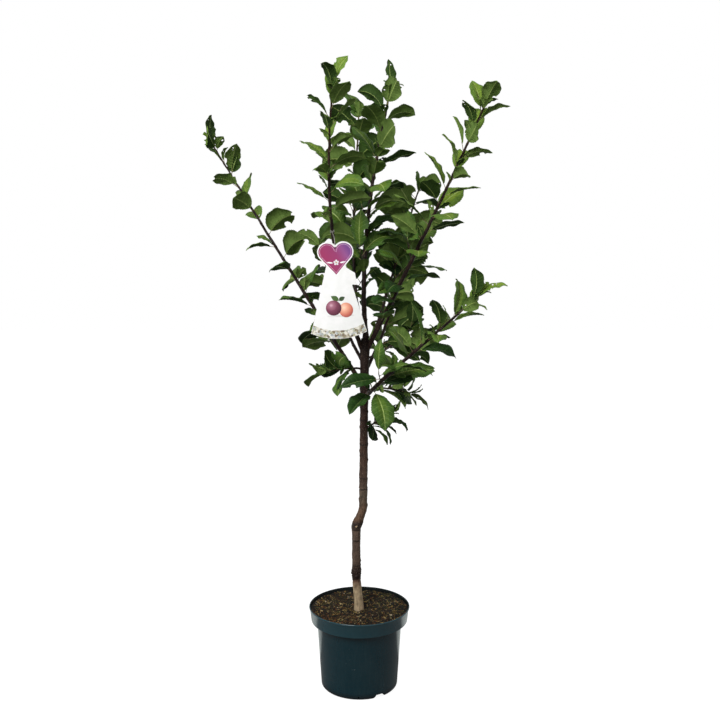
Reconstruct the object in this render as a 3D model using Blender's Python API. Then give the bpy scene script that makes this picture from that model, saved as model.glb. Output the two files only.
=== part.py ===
"""A young gage plum tree in its nursery pot, with a label tied to one bough.

Metres, +Z up. The origin is the middle of the pot's flat underside, and -Y is the front.

The plant grows by one rule. A Shoot is a curved, tapering axis from a limb: its bare foot is a bough,
and the rest is the stem of a leafy mass, which bears side twigs and leaves in a spiral. A leaf or twig
that would leave its mass's own space, or touch a limb or the label, turns aside or is left out.
"""
import math
from dataclasses import dataclass

import bmesh
import bpy
import numpy as np
from mathutils import Matrix, Vector

MM = 0.001
CLEARANCE = 0.3 * MM
WELD = 0.001 * MM
UP = np.array([0.0, 0.0, 1.0])
FRONT = np.array([0.0, -1.0, 0.0])
SIDEWAYS = np.array([0.31, 0.95, 0.10])  # a direction that no limb follows

# Pot
POT_HEIGHT = 0.217
BASE_RADIUS = 0.100
BASE_ROUND = 0.009
BODY_TOP_RADIUS = 0.1105
BAND_LOW = 0.180
BAND_LOW_RADIUS = 0.1255
BAND_TOP_RADIUS = 0.1295
LIP_PROUD = 1.5 * MM
LIP_HEIGHT = 3.0 * MM
LIP_SIDE = ((1.0, 0.3), (1.0, 0.8), (0.5, 1.0))  # shares of its proud and of its height
POT_WALL = 1.8 * MM
POT_SEGMENTS = 40
ROUND_STEPS = 3

# Drain mouths: low arches through the pot's bottom edge, roofed over inside
DRAIN_AZIMUTHS = (-58.0, 122.0)
DRAIN_LOW_WIDTH = 0.037
DRAIN_HIGH_WIDTH = 0.021
DRAIN_HEIGHT = 0.011
DRAIN_DEPTH = 0.034

# Soil
SOIL_HEIGHT = 0.2075

# Trunk, by height above the floor
FORK_HEIGHT = 0.922
TRUNK_SIDES = 14
TRUNK_RINGS = 46
TRUNK_SAMPLES = 80
TRUNK_FOOT_X = -0.0010
TRUNK_SWAY_X = -0.0068
TRUNK_SWAY_TOP = 0.300
KINK_LOW = 0.424
KINK_HIGH = 0.486
KINK_SHIFT = 0.0175
UPPER_LEAN_X = 0.0042
TRUNK_FOOT_RADIUS = 11.2 * MM
TRUNK_TOP_RADIUS = 10.0 * MM
DOME_HEIGHT = 0.012
DOME_SHRINK = 0.25


@dataclass(frozen=True)
class Swelling:
    """A bulge of the trunk: its height above the floor, half its length, and how far it stands out."""

    height: float
    reach: float
    proud: float


SWELLINGS = (
    Swelling(SOIL_HEIGHT, 0.014, 1.6 * MM),
    Swelling(0.318, 0.014, 0.5 * MM),
    Swelling(0.437, 0.015, 2.3 * MM),
    Swelling(0.890, 0.060, 1.5 * MM),
)

# Limbs
SHORTEST_BOUGH = 0.05
BOUGH_SIDES = 9
BOUGH_RING_STEP = 0.026
FEWEST_RINGS = 3
STEM_SIDES = 5
STEM_RING_STEP = 0.042
TWIG_SIDES = 4
COLLAR_PROUD = 0.35
COLLAR_REACH = 0.018
AXIS_STEPS = 40

# Leaves and twigs, in degrees where they are angles; a pair is a range, or a foot and a tip value
DIVERGENCE = 144.0
TURN_JITTER = 40.0
SPREAD_JITTER = 26.0
SPREAD_POWER = 1.3
TIP_LEAF_SPREAD = (6.0, 20.0)
SKYWARD = 0.40
LIGHT = np.array([0.0, -0.55, 0.835])
TO_LIGHT = 0.55
MOST_ROLL = 1.3  # radians
ROLL_JITTER = 75.0
TWIST_JITTER = 60.0
CURL_POWER = 1.2
MIDDLE_CURL = 0.4
RECURVE_SHARE = (0.30, 1.50)
FOLD = (6.0, 36.0)
SIZE_SHARE = (0.84, 1.16)
BREADTH_SHARE = (0.85, 1.15)
SHOULDER = (0.55, 0.80)
POINT = (0.42, 0.62)
TWIG_LENGTH = 0.042
TWIG_LENGTH_SHARE = (0.8, 1.2)
TWIG_SPREAD = 48.0
TWIG_LEAVES = 3
TWIG_RADIUS = 1.1 * MM
TWIG_STEPS = 3
TWIG_LIFT = 0.12
TWIG_LEAF_SIZE = 0.8
TWIG_ZONE = 0.6  # the share of the nodes, from the foot, that twigs grow from
PETIOLE = (0.010, 0.019)
PETIOLE_HALF_WIDTH = 0.7 * MM
LEAF_THICKNESS = 1.1 * MM
LEAF_STEPS = 16
SINK = 0.4
BLADE_STATIONS = (0.30, 0.68)
ASIDE = (0, 35, -35, 70, -70, 110, -110)

# The space that each mass keeps to
SPACE_GAP = 3.0 * MM
LIMB_GAP = 4.0 * MM
SIBLING_GAP = 6.0 * MM
SAMPLES = 7
LINE_SAMPLES = 60
LABEL_SPACE_LOW = np.array([-0.120, -0.300, 0.905])
LABEL_SPACE_HIGH = np.array([0.024, -0.035, 1.175])

# Label and its tie
LABEL_THICKNESS = 0.9 * MM
LOBE_CENTRE = 0.0190
LOBE_RADIUS = 0.0246
HEART_HEIGHT = 0.084
SKIRT_TOP = 0.057
SKIRT_TOP_HALF = 0.0234
SKIRT_SIDE = 0.2205
SKIRT_LOW_HALF = 0.068
SKIRT_BOTTOM = 0.236
ARC_STEPS = 12
LABEL_TILT = -2.5
HOLE_DROP = 0.0150
HOLE_RADIUS = 2.2 * MM
HOLE_SEGMENTS = 16
HOLE_DEPTH = 4 * LABEL_THICKNESS
TIED_TO = "left_leader"
TIE_RADIUS = 0.8 * MM
TIE_SHARE = 0.489
TIE_LENGTH = 0.023
TIE_SHIFT = 0.006  # how far to the right of its bough the label hangs
TIE_LOOP_RADIUS = 5.0 * MM
TIE_SIDES = 5
RING_STEPS = 12


@dataclass(frozen=True)
class Shoot:
    """One limb of the plant from its foot to its tip: a bare bough, then the stem of a leafy mass.

    Headings and leans are degrees at the foot and at the tip: heading 0 is +X and 90 is +Y, lean 0 is
    upright. A larger settle keeps less of the foot's direction. Other pairs are foot and tip values too.
    """

    name: str
    foot: tuple
    heading: tuple
    lean: tuple
    settle: float
    length: float
    bare: float
    radius: tuple
    leaves: int
    twigs: int
    blade: tuple
    breadth: float
    spread: tuple
    recurve: float
    turn: float
    seed: int

    @property
    def has_bough(self):
        """A long bare foot is a bough of its own, and a spray's short one belongs to its mass."""
        return self.bare > SHORTEST_BOUGH


SHOOTS = (
    Shoot("right_leader", (0.0165, 0, 0.9223), (122, -4), (10, 12), 1.67, 0.609, 0.060,
          (6.6 * MM, 2.4 * MM), 25, 2, (0.100, 0.075), 0.60, (60, 34), 50, 230, 276),
    Shoot("left_leader", (0.0110, 0, 0.885), (-153, -66), (25, 13), 1.35, 0.658, 0.328,
          (5.6 * MM, 2.2 * MM), 17, 0, (0.084, 0.062), 0.57, (58, 26), 42, 100, 431),
    Shoot("right_bough", (0.0150, 0.002, 0.884), (-30, -47), (29, 29), 0.40, 0.667, 0.088,
          (6.2 * MM, 2.2 * MM), 30, 1, (0.100, 0.068), 0.53, (64, 30), 39, 280, 643),
    Shoot("back_leader", (0.0165, 0, 0.932), (107, 65), (63, 7), 3.00, 0.598, 0.080,
          (4.6 * MM, 2.0 * MM), 26, 4, (0.092, 0.069), 0.76, (60, 42), 50, 350, 919),
    Shoot("right_back_bough", (0.0375, -0.003, 0.930), (70, 63), (45, 37), 1.80, 0.467, 0.070,
          (4.2 * MM, 1.9 * MM), 20, 4, (0.091, 0.069), 0.76, (60, 58), 50, 120, 215),
    Shoot("left_bough", (0.0128, -0.001, 0.795), (172, 172), (33, 32), 3.00, 0.712, 0.124,
          (5.6 * MM, 1.9 * MM), 17, 0, (0.074, 0.062), 0.82, (66, 30), 38, 120, 709),
    Shoot("low_right_bough", (0.0131, 0, 0.766), (-95, -15), (78, 48), 3.00, 0.460, 0.075,
          (6.2 * MM, 2.2 * MM), 19, 2, (0.098, 0.076), 0.48, (62, 34), 45, 130, 947),
    Shoot("back_bough", (0.0125, 0, 0.832), (62, 82), (54, 40), 1.00, 0.470, 0.080,
          (4.6 * MM, 1.8 * MM), 19, 3, (0.092, 0.068), 0.64, (62, 50), 42, 100, 137),
    Shoot("left_back_bough", (0.0125, 0.001, 0.856), (118, 104), (58, 36), 1.00, 0.410, 0.078,
          (4.4 * MM, 1.8 * MM), 13, 0, (0.088, 0.067), 0.60, (62, 44), 50, 260, 968),
    Shoot("inner_spray", (0.0130, 0, 0.868), (-10, 20), (70, 45), 1.00, 0.140, 0.020,
          (2.6 * MM, 1.5 * MM), 12, 2, (0.081, 0.064), 0.61, (66, 75), 42, 240, 854),
    Shoot("hanging_spray", (0.0125, 0, 0.785), (10, -10), (72, 112), 1.00, 0.110, 0.020,
          (2.5 * MM, 1.5 * MM), 10, 0, (0.083, 0.068), 0.49, (60, 47), 49, 220, 70),
    Shoot("left_spray", (0.0120, 0, 0.843), (-140, -165), (76, 102), 1.00, 0.090, 0.020,
          (2.5 * MM, 1.5 * MM), 7, 0, (0.074, 0.064), 0.74, (60, 35), 49, 130, 687),
    Shoot("low_spray", (0.0118, 0, 0.688), (-37, -20), (58, 62), 1.00, 0.088, 0.018,
          (2.0 * MM, 1.3 * MM), 12, 1, (0.056, 0.050), 0.48, (80, 51), 50, 310, 401),
)


def unit(vector):
    """The vector at a length of 1."""
    return vector / np.linalg.norm(vector)


def between(pair, share):
    """The value that lies a share of the way from a pair's first to its second."""
    return pair[0] + (pair[1] - pair[0]) * share


def eased(share):
    """A smooth step from 0 to 1 as share goes from 0 to 1."""
    share = min(max(share, 0.0), 1.0)
    return share * share * (3 - 2 * share)


def direction(heading, lean):
    """The unit vector with a heading and a lean in degrees."""
    heading = math.radians(heading)
    lean = math.radians(lean)
    return np.array([math.sin(lean) * math.cos(heading), math.sin(lean) * math.sin(heading), math.cos(lean)])


def axis_of(shoot):
    """Evenly spaced points along a shoot's axis."""
    start = direction(shoot.heading[0], shoot.lean[0])
    end = direction(shoot.heading[1], shoot.lean[1])
    points = [np.array(shoot.foot, float)]
    for step in range(AXIS_STEPS):
        share = (1 - (step + 0.5) / AXIS_STEPS) ** shoot.settle
        points.append(points[-1] + unit(start * share + end * (1 - share)) * shoot.length / AXIS_STEPS)
    return np.array(points)


def along(points, share):
    """The place and the direction at a share of a line of points."""
    index = min(max(share, 0.0), 1.0) * (len(points) - 1)
    low = min(int(index), len(points) - 2)
    step = points[low + 1] - points[low]
    return points[low] + step * (index - low), unit(step)


def stretch(points, start, end, count):
    """Evenly spaced points on a line between two shares of it."""
    return np.array([along(points, share)[0] for share in np.linspace(start, end, count)])


def trunk_centre(height):
    """The trunk's middle at a height: a slight sway, the kink of the old cut, and a slight lean."""
    sway = TRUNK_SWAY_X * eased((height - SOIL_HEIGHT) / (TRUNK_SWAY_TOP - SOIL_HEIGHT))
    kink = KINK_SHIFT * eased((height - KINK_LOW) / (KINK_HIGH - KINK_LOW))
    lean = UPPER_LEAN_X * max(0.0, height - KINK_HIGH) / (FORK_HEIGHT - KINK_HIGH)
    return np.array([TRUNK_FOOT_X + sway + kink + lean, 0.0, height])


def trunk_radius(height):
    """The trunk's radius at a height: an even taper, its swellings and the dome under the fork."""
    share = (height - SOIL_HEIGHT) / (FORK_HEIGHT - SOIL_HEIGHT)
    radius = between((TRUNK_FOOT_RADIUS, TRUNK_TOP_RADIUS), share)
    for swelling in SWELLINGS:
        radius += swelling.proud * math.exp(-((height - swelling.height) / swelling.reach) ** 2)
    dome = max(0.0, 1 - (FORK_HEIGHT - height) / DOME_HEIGHT)
    return radius * (1 - DOME_SHRINK * dome ** 2)


def shoot_radius(shoot, share):
    """A shoot's radius at a share of its length, with the collar at its foot."""
    collar = COLLAR_PROUD * math.exp(-share * shoot.length / COLLAR_REACH)
    return between(shoot.radius, share) * (1 + collar)


@dataclass(frozen=True)
class Leaf:
    """One leaf: a petiole and a folded blade that curls back, in the plane of its stem and its way out."""

    root: np.ndarray
    stem: np.ndarray
    out: np.ndarray
    angle: float
    petiole: float
    blade: float
    half_width: float
    recurve: float
    fold: float
    roll: float
    twist: float
    shoulder: float
    point: float

    def midrib(self, shares):
        """Points, sideways directions and upper normals at shares of the blade, from its foot to its tip."""
        fine = np.arange(LEAF_STEPS) + 0.5
        bend = self.angle + self.recurve * (fine / LEAF_STEPS) ** CURL_POWER
        steps = np.outer(np.cos(bend), self.stem) + np.outer(np.sin(bend), self.out)
        foot = self.root + (math.cos(self.angle) * self.stem + math.sin(self.angle) * self.out) * self.petiole
        path = np.vstack([foot, foot + np.cumsum(steps, axis=0) * self.blade / LEAF_STEPS])
        shares = np.asarray(shares, float)
        bend = self.angle + self.recurve * shares ** CURL_POWER
        ahead = np.outer(np.cos(bend), self.stem) + np.outer(np.sin(bend), self.out)
        normal = np.outer(np.sin(bend), self.stem) - np.outer(np.cos(bend), self.out)
        side = np.cross(ahead, normal)
        turn = self.roll + self.twist * shares
        cos, sin = np.cos(turn)[:, None], np.sin(turn)[:, None]
        side, normal = side * cos + normal * sin, normal * cos - side * sin
        index = shares * LEAF_STEPS
        low = np.minimum(index.astype(int), LEAF_STEPS - 1)
        points = path[low] + (path[low + 1] - path[low]) * (index - low)[:, None]
        return points, side, normal

    def half_widths(self, shares):
        """Half the blade's width at shares of its length."""
        peak = self.shoulder / (self.shoulder + self.point)
        most = peak ** self.shoulder * (1 - peak) ** self.point
        shares = np.asarray(shares, float)
        return self.half_width * shares ** self.shoulder * (1 - shares) ** self.point / most

    def edges(self, shares):
        """The blade's left edge, midrib and right edge at shares of its length."""
        points, side, normal = self.midrib(shares)
        width = self.half_widths(shares)[:, None]
        across = side * width * math.cos(self.fold)
        lift = normal * width * math.sin(self.fold)
        return points - across + lift, points, points + across + lift

    def samples(self):
        """Points on the blade that stand for it where its room is tested."""
        left, middle, right = self.edges(np.linspace(0, 1, SAMPLES))
        return np.vstack([left[1:-1], middle[1:], right[1:-1]])


@dataclass(frozen=True)
class Twig:
    """A short side twig, from inside its stem to its tip."""

    points: np.ndarray

    def samples(self):
        """Points that stand for the twig where its room is tested."""
        return self.points[1:]


class Space:
    """The room that one mass keeps to, and what grows in it so far."""

    def __init__(self, shoot):
        self.own = LINES[shoot.name]
        self.others = [line for name, line in LINES.items() if name != shoot.name]
        bare = int(LINE_SAMPLES * shoot.bare / shoot.length)
        self.bough = self.own[:bare]
        self.bough_radius = shoot.radius[0] + LIMB_GAP
        self.filled = []

    def takes(self, samples):
        """Whether a leaf or twig fits in, which then counts as grown."""
        if np.any(np.all((samples > LABEL_SPACE_LOW) & (samples < LABEL_SPACE_HIGH), axis=1)):
            return False
        if np.any(distances(samples, TRUNK_LINE[:, :3]) < TRUNK_LINE[:, 3] + LIMB_GAP):
            return False
        if np.any(distances(samples, self.bough) < self.bough_radius):
            return False
        own = distances(samples, self.own).min(axis=1)
        if any(np.any(distances(samples, line).min(axis=1) - own < SPACE_GAP) for line in self.others):
            return False
        if any(np.any(distances(samples, other) < SIBLING_GAP) for other in self.filled):
            return False
        self.filled.append(samples)
        return True


def distances(samples, line):
    """The distance from each sample to each point of a line."""
    return np.linalg.norm(samples[:, None, :] - line[None, :, :], axis=2)


TRUNK_LINE = np.array([
    [*trunk_centre(height), trunk_radius(height)]
    for height in np.linspace(SOIL_HEIGHT, FORK_HEIGHT, TRUNK_SAMPLES)
])
LINES = {shoot.name: stretch(axis_of(shoot), 0, 1, LINE_SAMPLES) for shoot in SHOOTS}


def outward(stem, turn):
    """The direction square to a stem at a turn in degrees round it."""
    first = unit(np.array([1.0, 0.0, 0.0]) - stem * stem[0])
    turn = math.radians(turn)
    return first * math.cos(turn) + np.cross(stem, first) * math.sin(turn)


def new_leaf(shoot, draws, place, stem, turn, age, radius, size, is_tip):
    """The leaf that a shoot bears at a place, from ten even draws between 0 and 1.

    Its petiole leaves the stem at an angle that closes towards the tip, where the leaf is youngest (age 1),
    and its blade rolls part of the way to the light.
    """
    out = outward(stem, turn)
    sky = unit(stem + UP * SKYWARD)
    across = unit(out - sky * out.dot(sky))
    spread = between(shoot.spread, age ** SPREAD_POWER) + SPREAD_JITTER * (draws[0] - 0.5)
    angle = math.radians(between(TIP_LEAF_SPREAD, draws[0]) if is_tip else spread)
    recurve = math.radians(shoot.recurve * between(RECURVE_SHARE, draws[4]))
    middle = angle + MIDDLE_CURL * recurve
    normal = math.sin(middle) * sky - math.cos(middle) * across
    side = np.cross(math.cos(middle) * sky + math.sin(middle) * across, normal)
    wanted = math.atan2(LIGHT.dot(side), LIGHT.dot(normal))
    roll = max(-MOST_ROLL, min(MOST_ROLL, wanted)) * TO_LIGHT + math.radians(ROLL_JITTER * (draws[6] - 0.5))
    blade = between(shoot.blade, age) * between(SIZE_SHARE, draws[1]) * size
    return Leaf(
        root=place + out * radius * SINK,
        stem=sky,
        out=across,
        angle=angle,
        petiole=between(PETIOLE, draws[2]),
        blade=blade,
        half_width=0.5 * blade * shoot.breadth * between(BREADTH_SHARE, draws[3]),
        recurve=recurve,
        fold=math.radians(between(FOLD, draws[5])),
        roll=roll,
        twist=math.radians(TWIST_JITTER * (draws[9] - 0.5)),
        shoulder=between(SHOULDER, draws[7]),
        point=between(POINT, draws[8]),
    )


def new_twig(place, stem, turn, radius, draw):
    """A short twig that leaves the stem at an angle and bends up a little."""
    out = outward(stem, turn)
    spread = math.radians(TWIG_SPREAD)
    ahead = stem * math.cos(spread) + out * math.sin(spread)
    start = place + out * radius * SINK
    length = TWIG_LENGTH * between(TWIG_LENGTH_SHARE, draw)
    points = [start]
    for step in range(TWIG_STEPS):
        ahead = unit(ahead + UP * TWIG_LIFT)
        points.append(points[-1] + ahead * length / TWIG_STEPS)
    return Twig(np.array(points))


def grow(shoot):
    """The twigs and leaves of a shoot's mass, as its seed deals them out."""
    rng = np.random.default_rng(shoot.seed)
    axis = axis_of(shoot)
    space = Space(shoot)
    twig_step = shoot.leaves * TWIG_ZONE / (shoot.twigs + 1)
    twig_nodes = {int((number + 1) * twig_step) for number in range(shoot.twigs)}
    twigs = []
    leaves = []
    for node in range(shoot.leaves + 1):
        is_tip = node == shoot.leaves
        age = min((node + 0.5) / shoot.leaves, 1.0)
        share = 1.0 if is_tip else between((shoot.bare, shoot.length), age) / shoot.length
        place, stem = along(axis, share)
        turn = shoot.turn + node * DIVERGENCE + TURN_JITTER * (rng.random() - 0.5)
        radius = between(shoot.radius, share)
        draws = rng.random((1 + TWIG_LEAVES, 10))
        for aside in ASIDE:
            if node in twig_nodes:
                twig = new_twig(place, stem, turn + aside, radius, draws[0, 0])
                if space.takes(twig.samples()):
                    twigs.append(twig)
                    leaves += twig_leaves(shoot, twig, draws[1:], turn + aside, age, space)
                    break
            else:
                leaf = new_leaf(shoot, draws[0], place, stem, turn + aside, age, radius, 1.0, is_tip)
                if space.takes(leaf.samples()):
                    leaves.append(leaf)
                    break
    return twigs, leaves


def twig_leaves(shoot, twig, draws, turn, age, space):
    """The leaves of one side twig, the last of them at its tip."""
    found = []
    for number in range(TWIG_LEAVES):
        share = (number + 1) / TWIG_LEAVES
        is_tip = number == TWIG_LEAVES - 1
        place, stem = along(twig.points, share)
        for aside in ASIDE:
            way = turn + number * DIVERGENCE + aside
            leaf = new_leaf(shoot, draws[number], place, stem, way, age, TWIG_RADIUS, TWIG_LEAF_SIZE, is_tip)
            if space.takes(leaf.samples()):
                found.append(leaf)
                break
    return found


def clear_scene():
    """Removes the objects that a new file starts with."""
    for piece in list(bpy.data.objects):
        bpy.data.objects.remove(piece)


def material(name, colour, roughness, metallic=0.0):
    """A plain finish of one colour."""
    finish = bpy.data.materials.new(name)
    finish.use_nodes = True
    shader = finish.node_tree.nodes["Principled BSDF"]
    shader.inputs["Base Color"].default_value = (*colour, 1.0)
    shader.inputs["Roughness"].default_value = roughness
    shader.inputs["Metallic"].default_value = metallic
    return finish


def add_piece(name, bm, finish=None, smooth_angle=40.0):
    """An object made from a bmesh, shaded smooth except at its edges."""
    mesh = bpy.data.meshes.new(name)
    bm.to_mesh(mesh)
    bm.free()
    mesh.shade_smooth()
    mesh.set_sharp_from_angle(angle=math.radians(smooth_angle))
    piece = bpy.data.objects.new(name, mesh)
    bpy.context.scene.collection.objects.link(piece)
    if finish:
        mesh.materials.append(finish)
    return piece


def remove_piece(piece):
    """Removes an object and its mesh."""
    mesh = piece.data
    bpy.data.objects.remove(piece)
    bpy.data.meshes.remove(mesh)


def apply_boolean(piece, operation, operands, solver="EXACT"):
    """Joins other objects to a piece, or cuts them from it, and removes them."""
    operand_set = bpy.data.collections.new("operands")
    bpy.context.scene.collection.children.link(operand_set)
    for operand in operands:
        bpy.context.scene.collection.objects.unlink(operand)
        operand_set.objects.link(operand)
    modifier = piece.modifiers.new("Boolean", "BOOLEAN")
    modifier.operand_type = "COLLECTION"
    modifier.collection = operand_set
    modifier.operation = operation
    modifier.solver = solver
    depsgraph = bpy.context.evaluated_depsgraph_get()
    result = bpy.data.meshes.new_from_object(piece.evaluated_get(depsgraph))
    piece.modifiers.clear()
    old = piece.data
    piece.data = result
    bpy.data.meshes.remove(old)
    for operand in operands:
        remove_piece(operand)
    bpy.data.collections.remove(operand_set)


def keep_whole(piece):
    """Keeps a piece's largest shell, which drops loose scraps and fills sealed hollows."""
    bm = bmesh.new()
    bm.from_mesh(piece.data)
    bmesh.ops.remove_doubles(bm, verts=bm.verts, dist=WELD)
    shells = []
    left = set(bm.verts)
    while left:
        shell = {left.pop()}
        edge_of_shell = list(shell)
        while edge_of_shell:
            vertex = edge_of_shell.pop()
            for edge in vertex.link_edges:
                other = edge.other_vert(vertex)
                if other in left:
                    left.remove(other)
                    shell.add(other)
                    edge_of_shell.append(other)
        shells.append(shell)
    largest = max(shells, key=shell_size)
    for shell in shells:
        if shell is not largest:
            bmesh.ops.delete(bm, geom=list(shell), context="VERTS")
    bm.to_mesh(piece.data)
    bm.free()


def shell_size(shell):
    """The diagonal of a shell's box."""
    places = np.array([vertex.co for vertex in shell])
    return np.linalg.norm(places.max(axis=0) - places.min(axis=0))


def loft(bm, points, ahead, radii, sides):
    """Adds a closed round limb with flat ends, from its middle line, its directions and its radii."""
    side = unit(np.cross(ahead[0], SIDEWAYS))
    rings = []
    for point, step, radius in zip(points, ahead, radii):
        side = unit(side - step * side.dot(step))
        other = np.cross(step, side)
        turns = np.arange(sides) * 2 * math.pi / sides
        rings.append([
            bm.verts.new(point + (side * math.cos(turn) + other * math.sin(turn)) * radius) for turn in turns
        ])
    for low, high in zip(rings, rings[1:]):
        for index in range(sides):
            bm.faces.new((low[index - 1], low[index], high[index], high[index - 1]))
    bm.faces.new(rings[0][::-1])
    bm.faces.new(rings[-1])


def add_leaf(bm, leaf):
    """Adds one leaf: a square petiole that widens into a blade with sharp edges and a thick midrib."""
    shares = np.array([0.0, *BLADE_STATIONS, 1.0])
    left, middle, right = leaf.edges(shares)
    side, normal = leaf.midrib(shares)[1:]
    half = normal * 0.5 * LEAF_THICKNESS
    rings = [
        [leaf.root - side[0] * PETIOLE_HALF_WIDTH, leaf.root + half[0],
         leaf.root + side[0] * PETIOLE_HALF_WIDTH, leaf.root - half[0]],
        [middle[0] - side[0] * PETIOLE_HALF_WIDTH, middle[0] + half[0],
         middle[0] + side[0] * PETIOLE_HALF_WIDTH, middle[0] - half[0]],
    ]
    for index in range(1, len(shares) - 1):
        rings.append([left[index], middle[index] + half[index], right[index], middle[index] - half[index]])
    rings = [[bm.verts.new(corner) for corner in ring] for ring in rings]
    tip = bm.verts.new(middle[-1])
    for low, high in zip(rings, rings[1:]):
        for edge in (0, 2):
            for rib in (1, 3):
                face = (low[edge], high[edge], high[rib], low[rib])
                halves = (face[:3], (face[0], face[2], face[3]))
                for corners in halves:
                    bm.faces.new(corners if (edge == 0) == (rib == 3) else corners[::-1])
    last = rings[-1]
    for index in range(4):
        bm.faces.new((last[index - 1], tip, last[index]))
    bm.faces.new(rings[0])
    bmesh.ops.recalc_face_normals(bm, faces=bm.faces)


@dataclass(frozen=True)
class Limb:
    """A round limb as it is built: its middle line, its directions and radii there, and its sides."""

    name: str
    points: np.ndarray
    ahead: np.ndarray
    radii: np.ndarray
    sides: int

    def piece(self, finish=None):
        """The limb as an object."""
        bm = bmesh.new()
        loft(bm, self.points, self.ahead, self.radii, self.sides)
        return add_piece(self.name, bm, finish)

    def grown(self):
        """The limb made thicker and longer by the clearance, to cut its neighbours with."""
        points = self.points.copy()
        points[0] -= self.ahead[0] * CLEARANCE
        points[-1] += self.ahead[-1] * CLEARANCE
        return Limb(self.name + "_grown", points, self.ahead, self.radii + CLEARANCE, self.sides)


def part_of_shoot(shoot, name, start, end, step, sides):
    """The limb that a shoot makes between two lengths along it."""
    axis = axis_of(shoot)
    count = max(FEWEST_RINGS, 1 + round((end - start) / step))
    shares = np.linspace(start, end, count) / shoot.length
    points, ahead = zip(*(along(axis, share) for share in shares))
    radii = np.array([shoot_radius(shoot, share) for share in shares])
    return Limb(name, np.array(points), np.array(ahead), radii, sides)


def build_trunk(bark):
    """The trunk, from its flat cut on the soil to the dome under its fork."""
    heights = np.linspace(SOIL_HEIGHT + CLEARANCE, FORK_HEIGHT - CLEARANCE, TRUNK_RINGS)
    points = np.array([trunk_centre(height) for height in heights])
    radii = np.array([trunk_radius(height) for height in heights])
    trunk = Limb("trunk", points, np.tile(UP, (TRUNK_RINGS, 1)), radii, TRUNK_SIDES)
    trunk.piece(bark)
    return trunk


def build_boughs(trunk, bark):
    """The bare boughs, each cut clear of the trunk and of the boughs before it."""
    limbs = [trunk]
    for shoot in SHOOTS:
        if shoot.has_bough:
            bough = part_of_shoot(shoot, "bough_" + shoot.name, 0.0, shoot.bare, BOUGH_RING_STEP, BOUGH_SIDES)
            piece = bough.piece(bark)
            for limb in limbs:
                apply_boolean(piece, "DIFFERENCE", [limb.grown().piece()])
            keep_whole(piece)
            limbs.append(bough)
    return limbs


def build_mass(shoot, limbs, foliage):
    """A leafy mass: the shoot's stem with its side twigs and leaves joined on."""
    start = shoot.bare + CLEARANCE if shoot.has_bough else 0.0
    name = "leaves_" + shoot.name
    piece = part_of_shoot(shoot, name, start, shoot.length, STEM_RING_STEP, STEM_SIDES).piece(foliage)
    if not shoot.has_bough:
        for limb in limbs:
            apply_boolean(piece, "DIFFERENCE", [limb.grown().piece()])
    twigs, leaves = grow(shoot)
    joined = []
    for twig in twigs:
        bm = bmesh.new()
        ahead = [unit(step) for step in np.gradient(twig.points, axis=0)]
        loft(bm, twig.points, ahead, [TWIG_RADIUS] * len(twig.points), TWIG_SIDES)
        joined.append(add_piece("twig", bm))
    for leaf in leaves:
        bm = bmesh.new()
        add_leaf(bm, leaf)
        joined.append(add_piece("leaf", bm))
    apply_boolean(piece, "UNION", joined, "MANIFOLD")
    keep_whole(piece)


def pot_side(inset):
    """Radii and heights up the pot's side, set inwards, from its round foot to its rim."""
    radius = BASE_ROUND - inset
    turns = [math.radians(90 * step / ROUND_STEPS) for step in range(ROUND_STEPS + 1)]
    side = [
        (BASE_RADIUS - BASE_ROUND + radius * math.sin(turn), BASE_ROUND - radius * math.cos(turn))
        for turn in turns
    ]
    side.append((BODY_TOP_RADIUS - inset, BAND_LOW + inset))
    side.append((BAND_LOW_RADIUS - inset, BAND_LOW + inset))
    side.append((BAND_TOP_RADIUS - inset, POT_HEIGHT))
    return side


def side_to(inset, top):
    """The pot's side, set inwards, up to a height."""
    side = pot_side(inset)
    radii, heights = zip(*side)
    return [place for place in side if place[1] < top] + [(float(np.interp(top, heights, radii)), top)]


def turned(name, side, finish=None):
    """A closed round solid with a flat top and bottom, turned from its side."""
    bm = bmesh.new()
    profile = [bm.verts.new((radius, 0.0, height)) for radius, height in side]
    edges = [bm.edges.new(pair) for pair in zip(profile, profile[1:])]
    bmesh.ops.spin(bm, geom=profile + edges, axis=(0, 0, 1), cent=(0, 0, 0), angle=2 * math.pi,
                   steps=POT_SEGMENTS, use_merge=True)
    bmesh.ops.remove_doubles(bm, verts=bm.verts, dist=WELD)
    bmesh.ops.holes_fill(bm, edges=bm.edges, sides=POT_SEGMENTS)
    bmesh.ops.recalc_face_normals(bm, faces=bm.faces)
    return add_piece(name, bm, finish)


def drain_blocks(proud, bottom):
    """Blocks in the shape of the drain mouths, made larger all round, from a height up and outwards."""
    slope = (DRAIN_HIGH_WIDTH - DRAIN_LOW_WIDTH) / 2 / DRAIN_HEIGHT
    side_proud = proud * math.hypot(1, slope)
    top = DRAIN_HEIGHT + proud
    low, high = (DRAIN_LOW_WIDTH / 2 + slope * height + side_proud for height in (bottom, top))
    outline = [(-low, bottom), (low, bottom), (high, top), (-high, top)]
    inner = BASE_RADIUS - DRAIN_DEPTH - proud
    outer = BASE_RADIUS + BASE_ROUND
    blocks = []
    for azimuth in DRAIN_AZIMUTHS:
        turn = Matrix.Rotation(math.radians(azimuth), 4, "Z")
        bm = bmesh.new()
        near, far = (
            [bm.verts.new(turn @ Vector((radius, across, up))) for across, up in outline]
            for radius in (inner, outer)
        )
        bm.faces.new(near)
        bm.faces.new(far[::-1])
        for index in range(len(outline)):
            bm.faces.new((near[index - 1], near[index], far[index], far[index - 1]))
        bmesh.ops.recalc_face_normals(bm, faces=bm.faces)
        blocks.append(add_piece("drain_block", bm))
    return blocks


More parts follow.
